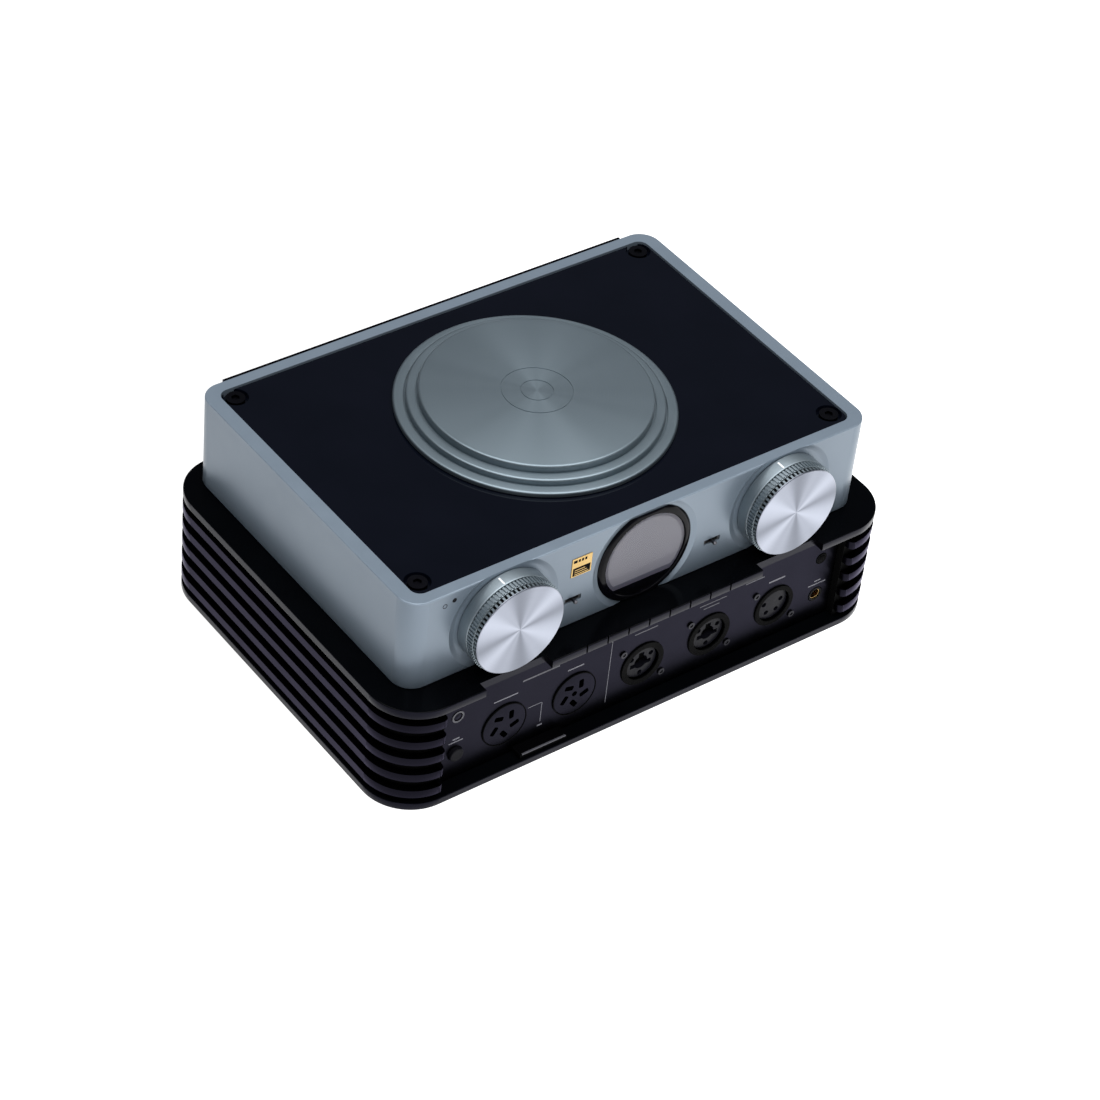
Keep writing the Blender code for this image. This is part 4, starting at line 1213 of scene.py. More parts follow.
@dataclass
class LowerUnit:
    """Base, deck, finned sides, front and rear panels and feet."""

    finishes: Finishes
    corner: float = 0.022
    edge: float = 0.0005
    fin_count: int = 5
    fin_pitch: float = 0.009
    fin_height: float = 0.0038
    fin_depth: float = 0.0052
    fin_round: float = 0.0009
    end_depth: float = 0.0068
    wall: float = 0.002
    curl: float = 0.0024
    end_gap: float = 0.0009
    tip_depth: float = 0.0042
    wall_inset: float = 0.0036
    wall_gap: float = 0.0005
    notch_width: float = 0.0326
    notch_depth: float = 0.0046
    tick_count: int = 8
    tick_pitch: float = 0.0106
    tick_width: float = 0.0008
    tick_depth: float = 0.0009
    groove_share: float = 0.55
    groove_depth: float = 0.0008

    def build(self) -> None:
        """Make every piece of the lower unit."""
        self.plates()
        self.fins()
        self.front_panel()
        self.rear()
        self.feet()

    def plates(self) -> None:
        """Base and deck: glossy faces, with a lighter band round the edge."""
        for node in ("base_plate", "deck_plate"):
            low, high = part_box(node)
            plate = slab(node.replace("_plate", "_slab"), low, high, self.corner, self.edge, 20)
            if node == "deck_plate":
                combined(plate, self.deck_cuts(low, high), "DIFFERENCE")
            smooth(plate, NARROW_CREASE)
            self.band(plate)
            fit(plate, self.finishes["deck_gloss"], Body.CHASSIS, (node,))

    def band(self, plate: bpy.types.Object) -> None:
        """Give upright faces the lighter edge finish.

        Args:
            plate: The plate to dress.
        """
        plate.data.materials.append(self.finishes["deck_gloss"])
        plate.data.materials.append(self.finishes["edge_grey"])
        for face in plate.data.polygons:
            face.material_index = 0 if abs(face.normal.z) > 0.9 else 1

    def deck_cuts(self, low: Point, high: Point) -> list[bpy.types.Object]:
        """Cutters for the knob notches and the fine ticks in the deck's front edge.

        Args:
            low: The deck's lowest corner.
            high: Its highest corner.

        Returns:
            The cutters.
        """
        tools = []
        for knob in ("volume_cap", "selector_cap"):
            x = middle(knob).x
            half = self.notch_width / 2
            start = (x - half, low[1] - OVERCUT, low[2] - OVERCUT)
            tools.append(bar("notch", start, (x + half, low[1] + self.notch_depth, high[2] + OVERCUT)))
        for index in range(self.tick_count):
            x = (index - (self.tick_count - 1) / 2) * self.tick_pitch
            half = self.tick_width / 2
            start = (x - half, low[1] - OVERCUT, low[2] - OVERCUT)
            tools.append(bar("tick", start, (x + half, low[1] + self.tick_depth, high[2] + OVERCUT)))
        return tools

    def outline(self, inset: float, curl: float, side_depth: float, end_depth: float) -> list[tuple[float, float]]:
        """Plan outline of one rib or wall on the right side, round the plates' corners.

        Args:
            inset: Distance of the outer face inside the plates' outline.
            curl: Radius of the inward curl at each end, or 0.
            side_depth: Distance of the inner face inside the outline, along the side.
            end_depth: The same at the front and rear.

        Returns:
            The outline's points.
        """
        low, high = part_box("base_plate")
        end_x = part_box("front_panel")[1][0] + (self.end_gap if curl else self.wall_gap)
        corner = self.corner
        front = low[1] + inset
        rear = high[1] - inset
        points = self.arc(end_x + curl, front + curl, curl, 180, 270, 8) if curl else [(end_x, front)]
        points += self.arc(high[0] - corner, low[1] + corner, corner - inset, 270, 360, 18)
        points += self.arc(high[0] - corner, high[1] - corner, corner - inset, 0, 90, 18)
        points += self.arc(end_x + curl, rear - curl, curl, 90, 180, 8) if curl else [(end_x, rear)]
        points.append((end_x, high[1] - end_depth))
        inner = corner - side_depth
        points += self.arc(high[0] - corner, high[1] - end_depth - inner, inner, 90, 0, 12)
        points += self.arc(high[0] - corner, low[1] + end_depth + inner, inner, 360, 270, 12)
        points.append((end_x, low[1] + end_depth))
        return points

    @staticmethod
    def arc(x: float, y: float, radius: float, start: float, end: float, steps: int) -> list[tuple[float, float]]:
        """Points along an arc, by its centre, radius and angles in degrees."""
        turns = [math.radians(start + (end - start) * step / steps) for step in range(steps + 1)]
        return [(x + radius * math.cos(turn), y + radius * math.sin(turn)) for turn in turns]

    def fins(self) -> None:
        """Five ribs round each side, in front of a plain inner wall whose near-black finish is painted shade for the
        grooves.
        """
        tree = stack_tree()
        for side, name in ((-1, "left"), (1, "right")):
            low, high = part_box(f"fin_wrap_{name}")
            lowest = (low[2] + high[2] - (self.fin_count - 1) * self.fin_pitch - self.fin_height) / 2
            rib = self.outline(0.0, self.curl, self.fin_depth, self.tip_depth)
            seed = eased(extruded("rib", rib, side, lowest, lowest + self.fin_height), self.fin_round, 3, 0.9)
            ribs = tree.grow(
                f"ribs_{name}", seed, self.finishes["fin_black"], Count=self.fin_count, Pitch=self.fin_pitch
            )
            smooth(ribs)
            fit(ribs, self.finishes["fin_black"], Body.CHASSIS, (f"fin_wrap_{name}",))
            wall = self.outline(self.wall_inset, 0.0, self.fin_depth + self.wall, self.end_depth + self.wall_gap)
            inner = extruded(f"rib_wall_{name}", wall, side, low[2], high[2])
            smooth(inner)
            # Near-black hole finish on the wall: painted shade in the grooves between the ribs.
            fit(inner, self.finishes["hole_black"], Body.CHASSIS)

    def front_panel(self) -> None:
        """The front panel keeps its shape and takes its finish."""
        dress_node("front_panel", self.finishes["panel_black"])

    def rear(self) -> None:
        """Rear panel, in its own shape."""
        dress_node("lower_rear_panel", self.finishes["panel_black"])

    def feet(self) -> None:
        """Round rubber feet, each with a groove and a soft lower edge."""
        for end in ("front", "rear"):
            for side in ("left", "right"):
                node = f"foot_{end}_{side}"
                low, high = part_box(node)
                radius = (high[0] - low[0]) / 2
                top = high[2]
                groove = top * self.groove_share
                lip = groove + self.groove_depth
                neck = radius - self.groove_depth
                shape = rounded_profile([
                    (0.0, top), (radius, top, 0.0006), (radius, lip, 0.0003), (neck, lip), (neck, groove),
                    (radius - 0.0001, groove, 0.0003), (radius - 0.0012, 0.0, 0.0014), (0.0, 0.0),
                ])
                foot = turned(f"{node}_pad", shape, MEDIUM_ROUND)
                spot = middle(node)
                stand = Matrix.Translation((spot.x, spot.y, 0.0))
                seated(foot, stand, self.finishes["rubber_black"], Body.CHASSIS, (node,))


# ---------------------------------------------------------------- rear connectors and screws


@dataclass
class RearConnectors:
    """Round sockets, pin connectors and inlet of the rear panel, and the screws of the rear and base."""

    finishes: Finishes
    ring_width: float = 0.0023
    ring_step: float = 0.0006
    insert_depth: float = 0.004
    contact_circle: float = 0.0045
    screw_spread: float = 0.0108
    thread_pitch: float = 0.0009
    thread_depth: float = 0.0003
    thread_end: float = 0.004
    inlet_bore: float = 0.0031
    inlet_depth: float = 0.009
    inlet_pin: float = 0.00105
    panel_inset: float = 0.005
    base_inset: float = 0.012

    def build(self, screws: Tree) -> None:
        """Make every connector and the screws.

        Args:
            screws: The tree that makes screws.
        """
        for node in ("line_in_left", "line_in_right"):
            self.round_socket(node, screws)
        for node in ("rca_in_left", "rca_in_right"):
            self.pin_connector(node)
        self.inlet("dc_inlet")
        self.panel_screws(screws)
        self.base_screws(screws)

    def stand(self, node: str) -> tuple[Matrix, float, float, float]:
        """Measure how a connector stands in the rear panel.

        Args:
            node: The connector's node.

        Returns:
            Its placing matrix, its radius, and its reaches out of and into the panel.
        """
        low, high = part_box(node)
        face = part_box("lower_rear_panel")[1][1]
        spot = middle(node)
        return facing_back(spot.x, face, spot.z), (high[0] - low[0]) / 2, high[1] - face, face - low[1]

    def piece(self, made: bpy.types.Object, stand: Matrix, finish: str, slot: Slot, nodes: Sequence[str] = ()) -> None:
        """Seat one piece on the chassis."""
        seated(made, stand, self.finishes[finish], Body.CHASSIS, nodes)

    def round_socket(self, node: str, screws: Tree) -> None:
        """Round input socket with a flange, a keyed insert and three contacts.

        Args:
            node: The node that it replaces.
            screws: The tree that makes screws.
        """
        stand, radius, reach, depth = self.stand(node)
        bore = radius - self.ring_width
        step = radius - self.ring_step
        floor = -self.insert_depth
        ring = turned(f"{node}_ring", rounded_profile([
            (bore, -depth), (bore, reach, 0.0003), (radius, reach, 0.0004), (radius, 0.0001), (step, 0.0001),
            (step, -depth),
        ]))
        key = bar("key", (-0.0016, bore - 0.001, floor), (0.0016, bore + 0.0009, reach + OVERCUT))
        combined(ring, [key], "DIFFERENCE")
        self.piece(ring, stand, "socket_black", Slot.SOCKET)
        rim = bore - 0.0001
        insert = turned(f"{node}_insert", [(0.0, floor), (rim, floor), (rim, -depth), (0.0, -depth)])
        out = Matrix.Translation((0.0, self.contact_circle, 0.0))
        spots = [Matrix.Rotation(math.radians(turn), 4, "Z") @ out for turn in (60, 180, 300)]
        combined(insert, [put(rod("hole", 0.0012, -0.009, 0.0, 24), spot) for spot in spots], "DIFFERENCE")
        self.piece(insert, stand, "black_plastic", Slot.SOCKET, (node,))
        contacts = [put(rod("contact", 0.0009, -0.0088, -0.0052, 20), spot) for spot in spots]
        self.piece(merged(f"{node}_contacts", contacts), stand, "gold", Slot.GOLD)
        spread = self.screw_spread
        seed = seed_points("flange", ((-spread, spread, 0.0003), (spread, -spread, 0.0003)))
        heads = screws.grow(f"{node}_screws", seed, self.finishes["flange_screw"],
                            Head__Radius=0.0017, Head__Height=0.0009, Socket__Radius=0.0009)
        put(heads, stand)
        fit(heads, self.finishes["flange_screw"], Body.CHASSIS)

    def pin_connector(self, node: str) -> None:
        """Threaded pin connector with a hexagon nut, an insulator and a hollow contact.

        Args:
            node: The node that it replaces.
        """
        stand, radius, reach, depth = self.stand(node)
        shell = radius - 0.0004
        mouth = shell - 0.0007
        shape: list[tuple[float, ...]] = [
            (0.0, 0.003), (mouth, 0.003), (mouth, reach, 0.0002), (shell, reach, 0.0002),
        ]
        for index in range(int((reach - self.thread_end) / self.thread_pitch)):
            level = reach - 0.0012 - index * self.thread_pitch
            shape += [(shell, level + 0.0003), (shell - self.thread_depth, level), (shell, level - 0.0003)]
        shape += [(shell, -depth), (0.0, -depth)]
        barrel = turned(f"{node}_barrel", list(reversed(rounded_profile(shape))), MEDIUM_ROUND)
        self.piece(barrel, stand, "bright_steel", Slot.STEEL, (node,))
        nut = turned(f"{node}_nut", [(0.0, 0.0016), (radius, 0.0016), (radius, 0.0002), (0.0, 0.0002)], 6)
        self.piece(nut, stand, "bright_steel", Slot.STEEL)
        front, back = reach - 0.003, 0.0029
        section = [(0.0017, front), (0.0031, front), (0.0031, back), (0.0017, back)]
        self.piece(turned(f"{node}_insulator", section, 48), stand, "insulator_white", Slot.PLASTIC)

    def inlet(self, node: str) -> None:
        """Low-voltage inlet with a centre pin.

        Args:
            node: The node that it replaces.
        """
        stand, radius, reach, depth = self.stand(node)
        bore, floor, pin = self.inlet_bore, -self.inlet_depth, self.inlet_pin
        body = turned(f"{node}_body", rounded_profile([
            (0.0, floor), (bore, floor), (bore, reach, 0.0003), (radius, reach, 0.0004), (radius, -depth),
            (0.0, -depth),
        ]), MEDIUM_ROUND)
        self.piece(body, stand, "black_plastic", Slot.SOCKET, (node,))
        foot = floor - 0.0001
        section = rounded_profile([(0.0, -0.0006), (pin, -0.0006, 0.0004), (pin, foot), (0.0, foot)])
        self.piece(turned(f"{node}_pin", section, 32), stand, "bright_steel", Slot.STEEL)

    def panel_screws(self, tree: Tree) -> None:
        """Small screws at the corners of the rear panel.

        Args:
            tree: The tree that makes screws.
        """
        low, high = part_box("lower_rear_panel")
        inset = self.panel_inset
        places = [(x, z) for x in (low[0] + inset, high[0] - inset) for z in (low[2] + inset, high[2] - inset)]
        seed = seed_points("rear", [(x, -z, 0.0004) for x, z in places])
        heads = tree.grow("rear_screws", seed, self.finishes["dark_screw"],
                          Head__Radius=0.0022, Head__Height=0.0012, Socket__Radius=0.001)
        put(heads, facing_back(0.0, high[1], 0.0))
        fit(heads, self.finishes["dark_screw"], Body.CHASSIS)

    def base_screws(self, tree: Tree) -> None:
        """Small screws round the underside of the base.

        Args:
            tree: The tree that makes screws.
        """
        low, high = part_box("base_plate")
        inset = self.base_inset
        middle_y = (low[1] + high[1]) / 2
        columns = (low[0] + inset, 0.0, high[0] - inset)
        rows = (low[1] + inset, middle_y, high[1] - inset)
        places = [(x, y) for x in columns for y in rows if (x, y) != (0.0, middle_y)]
        seed = seed_points("base", [(x, -y, 0.0003) for x, y in places])
        heads = tree.grow("base_screws", seed, self.finishes["flange_screw"],
                          Head__Radius=0.0025, Head__Height=0.0012, Socket__Radius=0.0012)
        put(heads, Matrix.Translation((0.0, 0.0, low[2])) @ Matrix.Rotation(math.pi, 4, "X"))
        fit(heads, self.finishes["flange_screw"], Body.CHASSIS)


# ---------------------------------------------------------------- front sockets and small controls


@dataclass
class RoundSocket:
    """One round headphone socket on the front panel."""

    finishes: Finishes
    node: str
    ring: tuple[float, float]
    pins: Sequence[tuple[float, float, float]]
    slotted: bool = False
    keyed: bool = False
    screwed: bool = True
    proud: float = 0.0007
    face: float = 0.0005
    recess: float = 0.0014
    play: float = 0.0001
    insert_depth: float = 0.004
    hole_depth: float = 0.006
    slot_length: float = 0.0046
    slot_width: float = 0.0024
    slot_slant: float = 38.0

    def build(self, screws: Tree) -> None:
        """Make the ring, the insert and the flange screws.

        Args:
            screws: The tree that makes screws.
        """
        spot = middle(self.node)
        panel_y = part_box("front_panel")[0][1]
        stand = facing_front(spot.x, panel_y, spot.z)
        outer, inner = self.ring
        ring = turned(f"{self.node}_ring", rounded_profile([
            (inner, 0.0001), (inner, self.proud, 0.0003), (outer, self.proud, 0.0004), (outer, 0.0001),
        ]))
        seated(ring, stand, self.finishes["hole_black"], Body.CHASSIS)
        top = self.face - (0.0 if self.slotted else self.recess)
        rim = inner - self.play
        insert = turned(f"{self.node}_insert", rounded_profile([
            (0.0, top), (rim, top, 0.0003), (rim, -self.insert_depth), (0.0, -self.insert_depth),
        ]))
        combined(insert, self.cutters(top), "DIFFERENCE")
        shade = "panel_black" if self.slotted else "socket_grey"
        seated(insert, stand, self.finishes[shade], Body.CHASSIS, (self.node,))
        back = panel_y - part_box(self.node)[1][1]
        front = -self.insert_depth - self.play
        well = turned(f"{self.node}_well", [(0.0, front), (rim, front), (rim, back), (0.0, back)], SMALL_ROUND)
        seated(well, stand, self.finishes["hole_black"], Body.CHASSIS)
        if self.screwed:
            self.flange_screws(screws, stand)

    def cutters(self, face: float) -> list[bpy.types.Object]:
        """Cutters for the pin holes, slots and key.

        Args:
            face: Height of the insert's face.

        Returns:
            The cutters.
        """
        tools = []
        foot = -self.hole_depth
        top = face + OVERCUT
        for radius, distance, angle in self.pins:
            turn = math.radians(angle)
            place = Matrix.Translation((distance * math.sin(turn), distance * math.cos(turn), 0.0))
            if self.slotted and distance:
                half_x, half_y = self.slot_width / 2, self.slot_length / 2
                tool = slab("slot", (-half_x, -half_y, foot), (half_x, half_y, top), self.slot_width * 0.3, 0.0, 4)
                slant = Matrix.Rotation(-turn + math.radians(self.slot_slant), 4, "Z")
                tools.append(put(tool, place @ slant))
            else:
                tools.append(put(rod("hole", radius, foot, top, 24), place))
        if self.keyed:
            tools.append(bar("key", (-0.0014, 0.0, foot), (0.0014, 0.0051, top)))
            for side in (-1, 1):
                start = (min(0.0, side * 0.0054), -0.0022, foot)
                tools.append(bar("key", start, (max(0.0, side * 0.0054), 0.0, top)))
        return tools

    def flange_screws(self, tree: Tree, stand: Matrix) -> None:
        """Two small screws across the socket's corners.

        Args:
            tree: The tree that makes screws.
            stand: The socket's place.
        """
        seed = seed_points("flange", ((-0.0109, 0.0098, 0.0004), (0.011, -0.0096, 0.0004)))
        heads = tree.grow(
            f"{self.node}_screws", seed, self.finishes["flange_screw"],
            Head__Radius=0.0016, Head__Height=0.0006, Socket__Radius=0.0009,
        )
        put(heads, stand)
        fit(heads, self.finishes["flange_screw"], Body.CHASSIS)


@dataclass
class FrontSockets:
    """The row of five headphone sockets."""

    finishes: Finishes

    def build(self, screws: Tree) -> None:
        """Make the five sockets.

        Args:
            screws: The tree that makes screws.
        """
        five = [(0.0013, 0.0053, angle) for angle in (36, 108, 180, 252, 324)]
        three = [(0.0034, 0.0, 0)] + [(0.0012, 0.0058, angle) for angle in (60, 180, 300)]
        four = [(0.0012, 0.0047, angle) for angle in (75, 145, 215, 285)]
        narrow = (0.0109, 0.0106)
        for node, ring, pins, style in (
            ("energiser_socket_left", narrow, five, {"slotted": True, "screwed": False}),
            ("energiser_socket_right", narrow, five + [(0.0013, 0.0, 0)], {"slotted": True, "screwed": False}),
            ("combo_socket_left", (0.011, 0.0082), three, {"keyed": True}),
            ("combo_socket_right", (0.011, 0.0082), three, {"keyed": True}),
            ("balanced_socket", (0.0104, 0.0081), four, {}),
        ):
            RoundSocket(self.finishes, node, ring, pins, **style).build(screws)


@dataclass
class PanelMarks:
    """Plain printed marks on the front panel: a divider and dashes in place of lettering."""

    finishes: Finishes
    lift: float = 0.00006
    depth: float = 0.0002
    line: float = 0.0003

    def build(self) -> None:
        """Lay the marks in two tones."""
        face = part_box("front_panel")[0][1]
        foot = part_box("base_plate")[0][2]
        spots = {node: middle(node) for node in (
            "energiser_socket_left", "energiser_socket_right", "combo_socket_left", "combo_socket_right",
            "balanced_socket", "power_light", "power_button", "remote_window", "balanced_jack",
        )}
        left = spots["energiser_socket_left"].x
        second = spots["energiser_socket_right"].x
        combo = spots["combo_socket_left"].x
        other = spots["combo_socket_right"].x
        far = spots["balanced_socket"].x
        column = spots["power_button"].x
        end = spots["balanced_jack"].x
        divide = (second + combo) / 2
        strong = [
            (divide - self.line / 2, divide + self.line / 2, foot + 0.008, foot + 0.0436),
            (left - 0.0062, left + 0.0057, foot + 0.0361, foot + 0.0367),
            (second - 0.0046, second + 0.0036, foot + 0.0361, foot + 0.0368),
            (far - 0.0048, far + 0.0041, foot + 0.0361, foot + 0.0369),
            (column - 0.0035, column + 0.0035, foot + 0.0236, foot + 0.0241),
            (column - 0.0017, column + 0.0017, foot + 0.0251, foot + 0.0258),
            (end - 0.0049, end + 0.0047, foot + 0.0231, foot + 0.0237),
            (end - 0.0017, end + 0.0017, foot + 0.0249, foot + 0.0255),
            (left + 0.0118, left + 0.019, foot + 0.0247, foot + 0.025),
            (left + 0.0187, left + 0.019, foot + 0.0141, foot + 0.025),
            (left + 0.0175, left + 0.0201, foot + 0.0118, foot + 0.0125),
        ]
        faint = [
            (left + 0.0076, left + 0.0261, foot + 0.0413, foot + 0.0421),
            (combo - 0.006, combo + 0.006, foot + 0.0399, foot + 0.0404),
            (other - 0.0072, other + 0.0072, foot + 0.0396, foot + 0.0401),
            (other - 0.005, other + 0.0035, foot + 0.0375, foot + 0.038),
            (far - 0.018, far - 0.008, foot + 0.0413, foot + 0.0419),
        ]
        for name, marks, ink in (("strong_marks", strong, "ink_grey"), ("faint_marks", faint, "faint_ink_and_edge_highlight")):
            bars = [
                bar("mark", (x0, face - self.lift, z0), (x1, face + self.depth, z1))
                for x0, x1, z0, z1 in marks
            ]
            fit(merged(name, bars), self.finishes[ink], Body.CHASSIS)


@dataclass
class PanelControls:
    """Button, lights, small jack and card of the front panel."""

    finishes: Finishes
    dome: float = 0.0001
    jack_bore: float = 0.0022
    jack_wall: float = 0.0003
    jack_depth: float = 0.012
    jack_length: float = 0.0155
    card_edge: float = 0.0003
    edge_highlight_inset: float = 0.001
    edge_highlight_height: float = 0.0005
    edge_highlight_depth: float = 0.0006
    edge_highlight_lift: float = 0.00005

    def build(self) -> None:
        """Make the small controls."""
        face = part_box("front_panel")[0][1]
        self.button(face)
        self.light(face)
        self.window(face)
        self.jack(face)
        self.card()

    def button(self, face: float) -> None:
        """Push button with a slightly raised middle.

        Args:
            face: Place of the panel's front face.
        """
        spot = middle("power_button")
        low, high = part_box("power_button")
        radius = (high[0] - low[0]) / 2
        edge = face - low[1] - 0.0002
        back = face - high[1]
        cap = turned("push_button", rounded_profile([
            (0.0, edge - self.dome), (radius * 0.7, edge), (radius, edge, 0.0006), (radius, back), (0.0, back),
        ]), MEDIUM_ROUND)
        stand = facing_front(spot.x, face, spot.z)
        seated(cap, stand, self.finishes["button_black"], Body.BUTTON, ("power_button",))

    def light(self, face: float) -> None:
        """Ring round the power light.

        Args:
            face: Place of the panel's front face.
        """
        spot = middle("power_light")
        halo = turned("light_ring", rounded_profile([
            (0.0021, 0.0), (0.0021, 0.0003, 0.0001), (0.0029, 0.0003, 0.0001), (0.0029, 0.0),
        ]), MEDIUM_ROUND)
        stand = facing_front(spot.x, face, spot.z)
        seated(halo, stand, self.finishes["faint_ink_and_edge_highlight"], Body.CHASSIS)
        dress_node("power_light", self.finishes["panel_black"])

    def window(self, face: float) -> None:
        """Small dome over the remote control's receiver.

        Args:
            face: Place of the panel's front face.
        """
        spot = middle("remote_window")
        dome = turned("remote_dome", rounded_profile([
            (0.0, 0.0007), (0.0012, 0.0006), (0.002, 0.0001), (0.0022, 0.0001), (0.0027, 0.0003, 0.0001),
            (0.0027, -0.004), (0.0, -0.004),
        ]), MEDIUM_ROUND)
        stand = facing_front(spot.x, face, spot.z)
        seated(dome, stand, self.finishes["hole_black"], Body.CHASSIS, ("remote_window",))

    def jack(self, face: float) -> None:
        """Small jack: gold sleeve in a black collar.

        Args:
            face: Place of the panel's front face.
        """
        spot = middle("balanced_jack")
        stand = facing_front(spot.x, face, spot.z)
        bore = self.jack_bore
        outer = bore + self.jack_wall
        sleeve = turned("jack_sleeve", rounded_profile([
            (0.0, -self.jack_depth), (bore, -self.jack_depth), (bore, -0.0002, 0.0001), (outer, -0.0002, 0.0001),
            (outer, -self.jack_length), (0.0, -self.jack_length),
        ]), MEDIUM_ROUND)
        seated(sleeve, stand, self.finishes["gold"], Body.CHASSIS, ("balanced_jack",))
        collar = turned("jack_collar", rounded_profile([
            (0.0026, -0.0004), (0.0026, 0.0003, 0.0001), (0.0036, 0.0003, 0.0002), (0.0036, -0.0004),
        ]), MEDIUM_ROUND)
        seated(collar, stand, self.finishes["socket_black"], Body.CHASSIS)

    def card(self) -> None:
        """The slide-in card, with a bevelled front edge and a painted highlight line along its top edge."""
        low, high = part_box("bias_card")
        card = bar("card_body", low, high, self.card_edge)
        smooth(card)
        fit(card, self.finishes["card_plastic"], Body.CARD, ("bias_card",))
        # Light strip over the card's top front edge: painted highlight.
        start = (low[0] + self.edge_highlight_inset, low[1] - self.edge_highlight_lift, high[2] - self.edge_highlight_height)
        end = (high[0] - self.edge_highlight_inset, low[1] + self.edge_highlight_depth, high[2] + self.edge_highlight_lift)
        fit(bar("card_edge_highlight", start, end), self.finishes["faint_ink_and_edge_highlight"], Body.CARD)
        dress_node("card_slot", self.finishes["black_plastic"])


# ---------------------------------------------------------------- upper unit


@dataclass
class UpperUnit:
    """Case, top panel, stepped disc, rear plate and small marks of the upper unit."""

    finishes: Finishes
    corner: float = 0.0094
    edge: float = 0.0005
    wall: float = 0.0035
    rim_side: float = 0.0065
    rim_end: float = 0.0055
    rim_corner: float = 0.0045
    dish_radius: float = 0.0265
    dish_floor: float = 0.0236
    dish_depth: float = 0.0008
    knob_bore: float = 0.0048
    display_bore: float = 0.0212
    light_bore: float = 0.0011
    lever_slot: tuple[float, float] = (0.0042, 0.0013)
    rear_window: tuple[float, float, float] = (0.09, 0.008, 0.01)
    screw_side: float = 0.0056
    screw_front: float = 0.0075
    screw_rear: float = 0.0049
    counterbore: float = 0.0054
    counterbore_depth: float = 0.0021
    steps: Sequence[tuple[float, float]] = ((0.0596, 0.0016), (0.0544, 0.0042), (0.0494, 0.0074))
    rings: Sequence[float] = (0.0065, 0.0148)
    ring_width: float = 0.0005
    ring_depth: float = 0.00025
    badge_half: tuple[float, float] = (0.005, 0.0048)
    badge_shift: float = 0.0025
    badge_drop: float = 0.014

    def build(self, screws: Tree) -> None:
        """Make the upper unit.

        Args:
            screws: The tree that makes screws.
        """
        self.case()
        self.top_panel(screws)
        self.disc()
        self.rear()
        self.marks()

    def case(self) -> None:
        """Silver case, with its opening, dishes, bores and lever slots."""
        low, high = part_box("upper_case")
        panel_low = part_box("top_panel")[0]
        case = slab("silver_case", low, high, self.corner, self.edge, 20)
        wall = self.wall
        tools = [
            slab("hollow", (low[0] + wall, low[1] + wall, low[2] - OVERCUT),
                 (high[0] - wall, high[1] - wall, panel_low[2] - 0.0002), self.corner - wall, 0.0, 12),
            slab("opening", (low[0] + self.rim_side, low[1] + self.rim_end, panel_low[2] - 0.0004),
                 (high[0] - self.rim_side, high[1] - self.rim_end, high[2] + OVERCUT), self.rim_corner, 0.0, 12),
        ]
        dished = [middle(node) for node in ("selector_cap", "volume_cap", "display_lens")]
        for spot in dished:
            tools.append(put(turned("dish", self.dish_profile()), facing_front(spot.x, low[1], spot.z)))
        through = -self.rim_end - OVERCUT
        for spot, radius in zip(dished, (self.knob_bore, self.knob_bore, self.display_bore)):
            hole = rod("bore", radius, through, OVERCUT, MEDIUM_ROUND)
            tools.append(put(hole, facing_front(spot.x, low[1], spot.z)))
        half_x, half_z = self.lever_slot
        for lever in ("bass_lever", "width_lever"):
            spot = middle(lever)
            tools.append(bar("slot", (spot.x - half_x, low[1] - OVERCUT, spot.z - half_z),
                             (spot.x + half_x, low[1] + wall + OVERCUT, spot.z + half_z)))
        light = middle("status_light")
        hole = rod("bore", self.light_bore, through, OVERCUT, 24)
        tools.append(put(hole, facing_front(light.x, low[1], light.z)))
        half_x, sill, head = self.rear_window
        tools.append(bar("rear_window", (-half_x, high[1] - wall - OVERCUT, low[2] + sill),
                         (half_x, high[1] + OVERCUT, high[2] - head)))
        combined(case, tools, "DIFFERENCE")
        smooth(case, NARROW_CREASE)
        fit(case, self.finishes["case_silver"], Body.CHASSIS, ("upper_case",))

    def dish_profile(self) -> list[tuple[float, float]]:
        """Section of the shallow dish that is cut round each control.

        Returns:
            Points of (radius, height).
        """
        rise = self.dish_radius - self.dish_floor
        points = [(0.0, OVERCUT), (self.dish_radius + 0.0012, OVERCUT), (self.dish_radius + 0.0002, 0.0003)]
        steps = 6
        for step in range(steps + 1):
            share = 1 - step / steps
            turn = share * math.pi / 2
            points.append((self.dish_floor + rise * share, -self.dish_depth * (1 - (1 - math.cos(turn)) ** 0.8)))
        points.append((0.0, -self.dish_depth))
        return points

    def top_panel(self, screws: Tree) -> None:
        """Glossy top panel, with a screw in a counterbore at each corner.

        Args:
            screws: The tree that makes screws.
        """
        low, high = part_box("top_panel")
        panel = slab("gloss_panel", low, high, self.rim_corner, 0.0003)
        rows = (low[1] + self.screw_front, high[1] - self.screw_rear)
        spots = [(side * (high[0] - self.screw_side), row) for side in (-1, 1) for row in rows]
        bore, floor = self.counterbore, -self.counterbore_depth
        section = [(0.0, 0.001), (bore + 0.0006, 0.001), (bore, -0.0003), (bore, floor), (0.0, floor)]
        tools = [
            put(turned("counterbore", section, MEDIUM_ROUND), Matrix.Translation((x, y, high[2]))) for x, y in spots
        ]
        combined(panel, tools, "DIFFERENCE")
        smooth(panel)
        fit(panel, self.finishes["panel_gloss"], Body.CHASSIS, ("top_panel",))
        seed = seed_points("corner_screws", [(x, y, high[2] - 0.0011) for x, y in spots])
        heads = screws.grow("panel_screws", seed, self.finishes["dark_screw"],
                            Head__Radius=0.0041, Head__Height=0.0019, Socket__Radius=0.0019)
        fit(heads, self.finishes["dark_screw"], Body.CHASSIS)

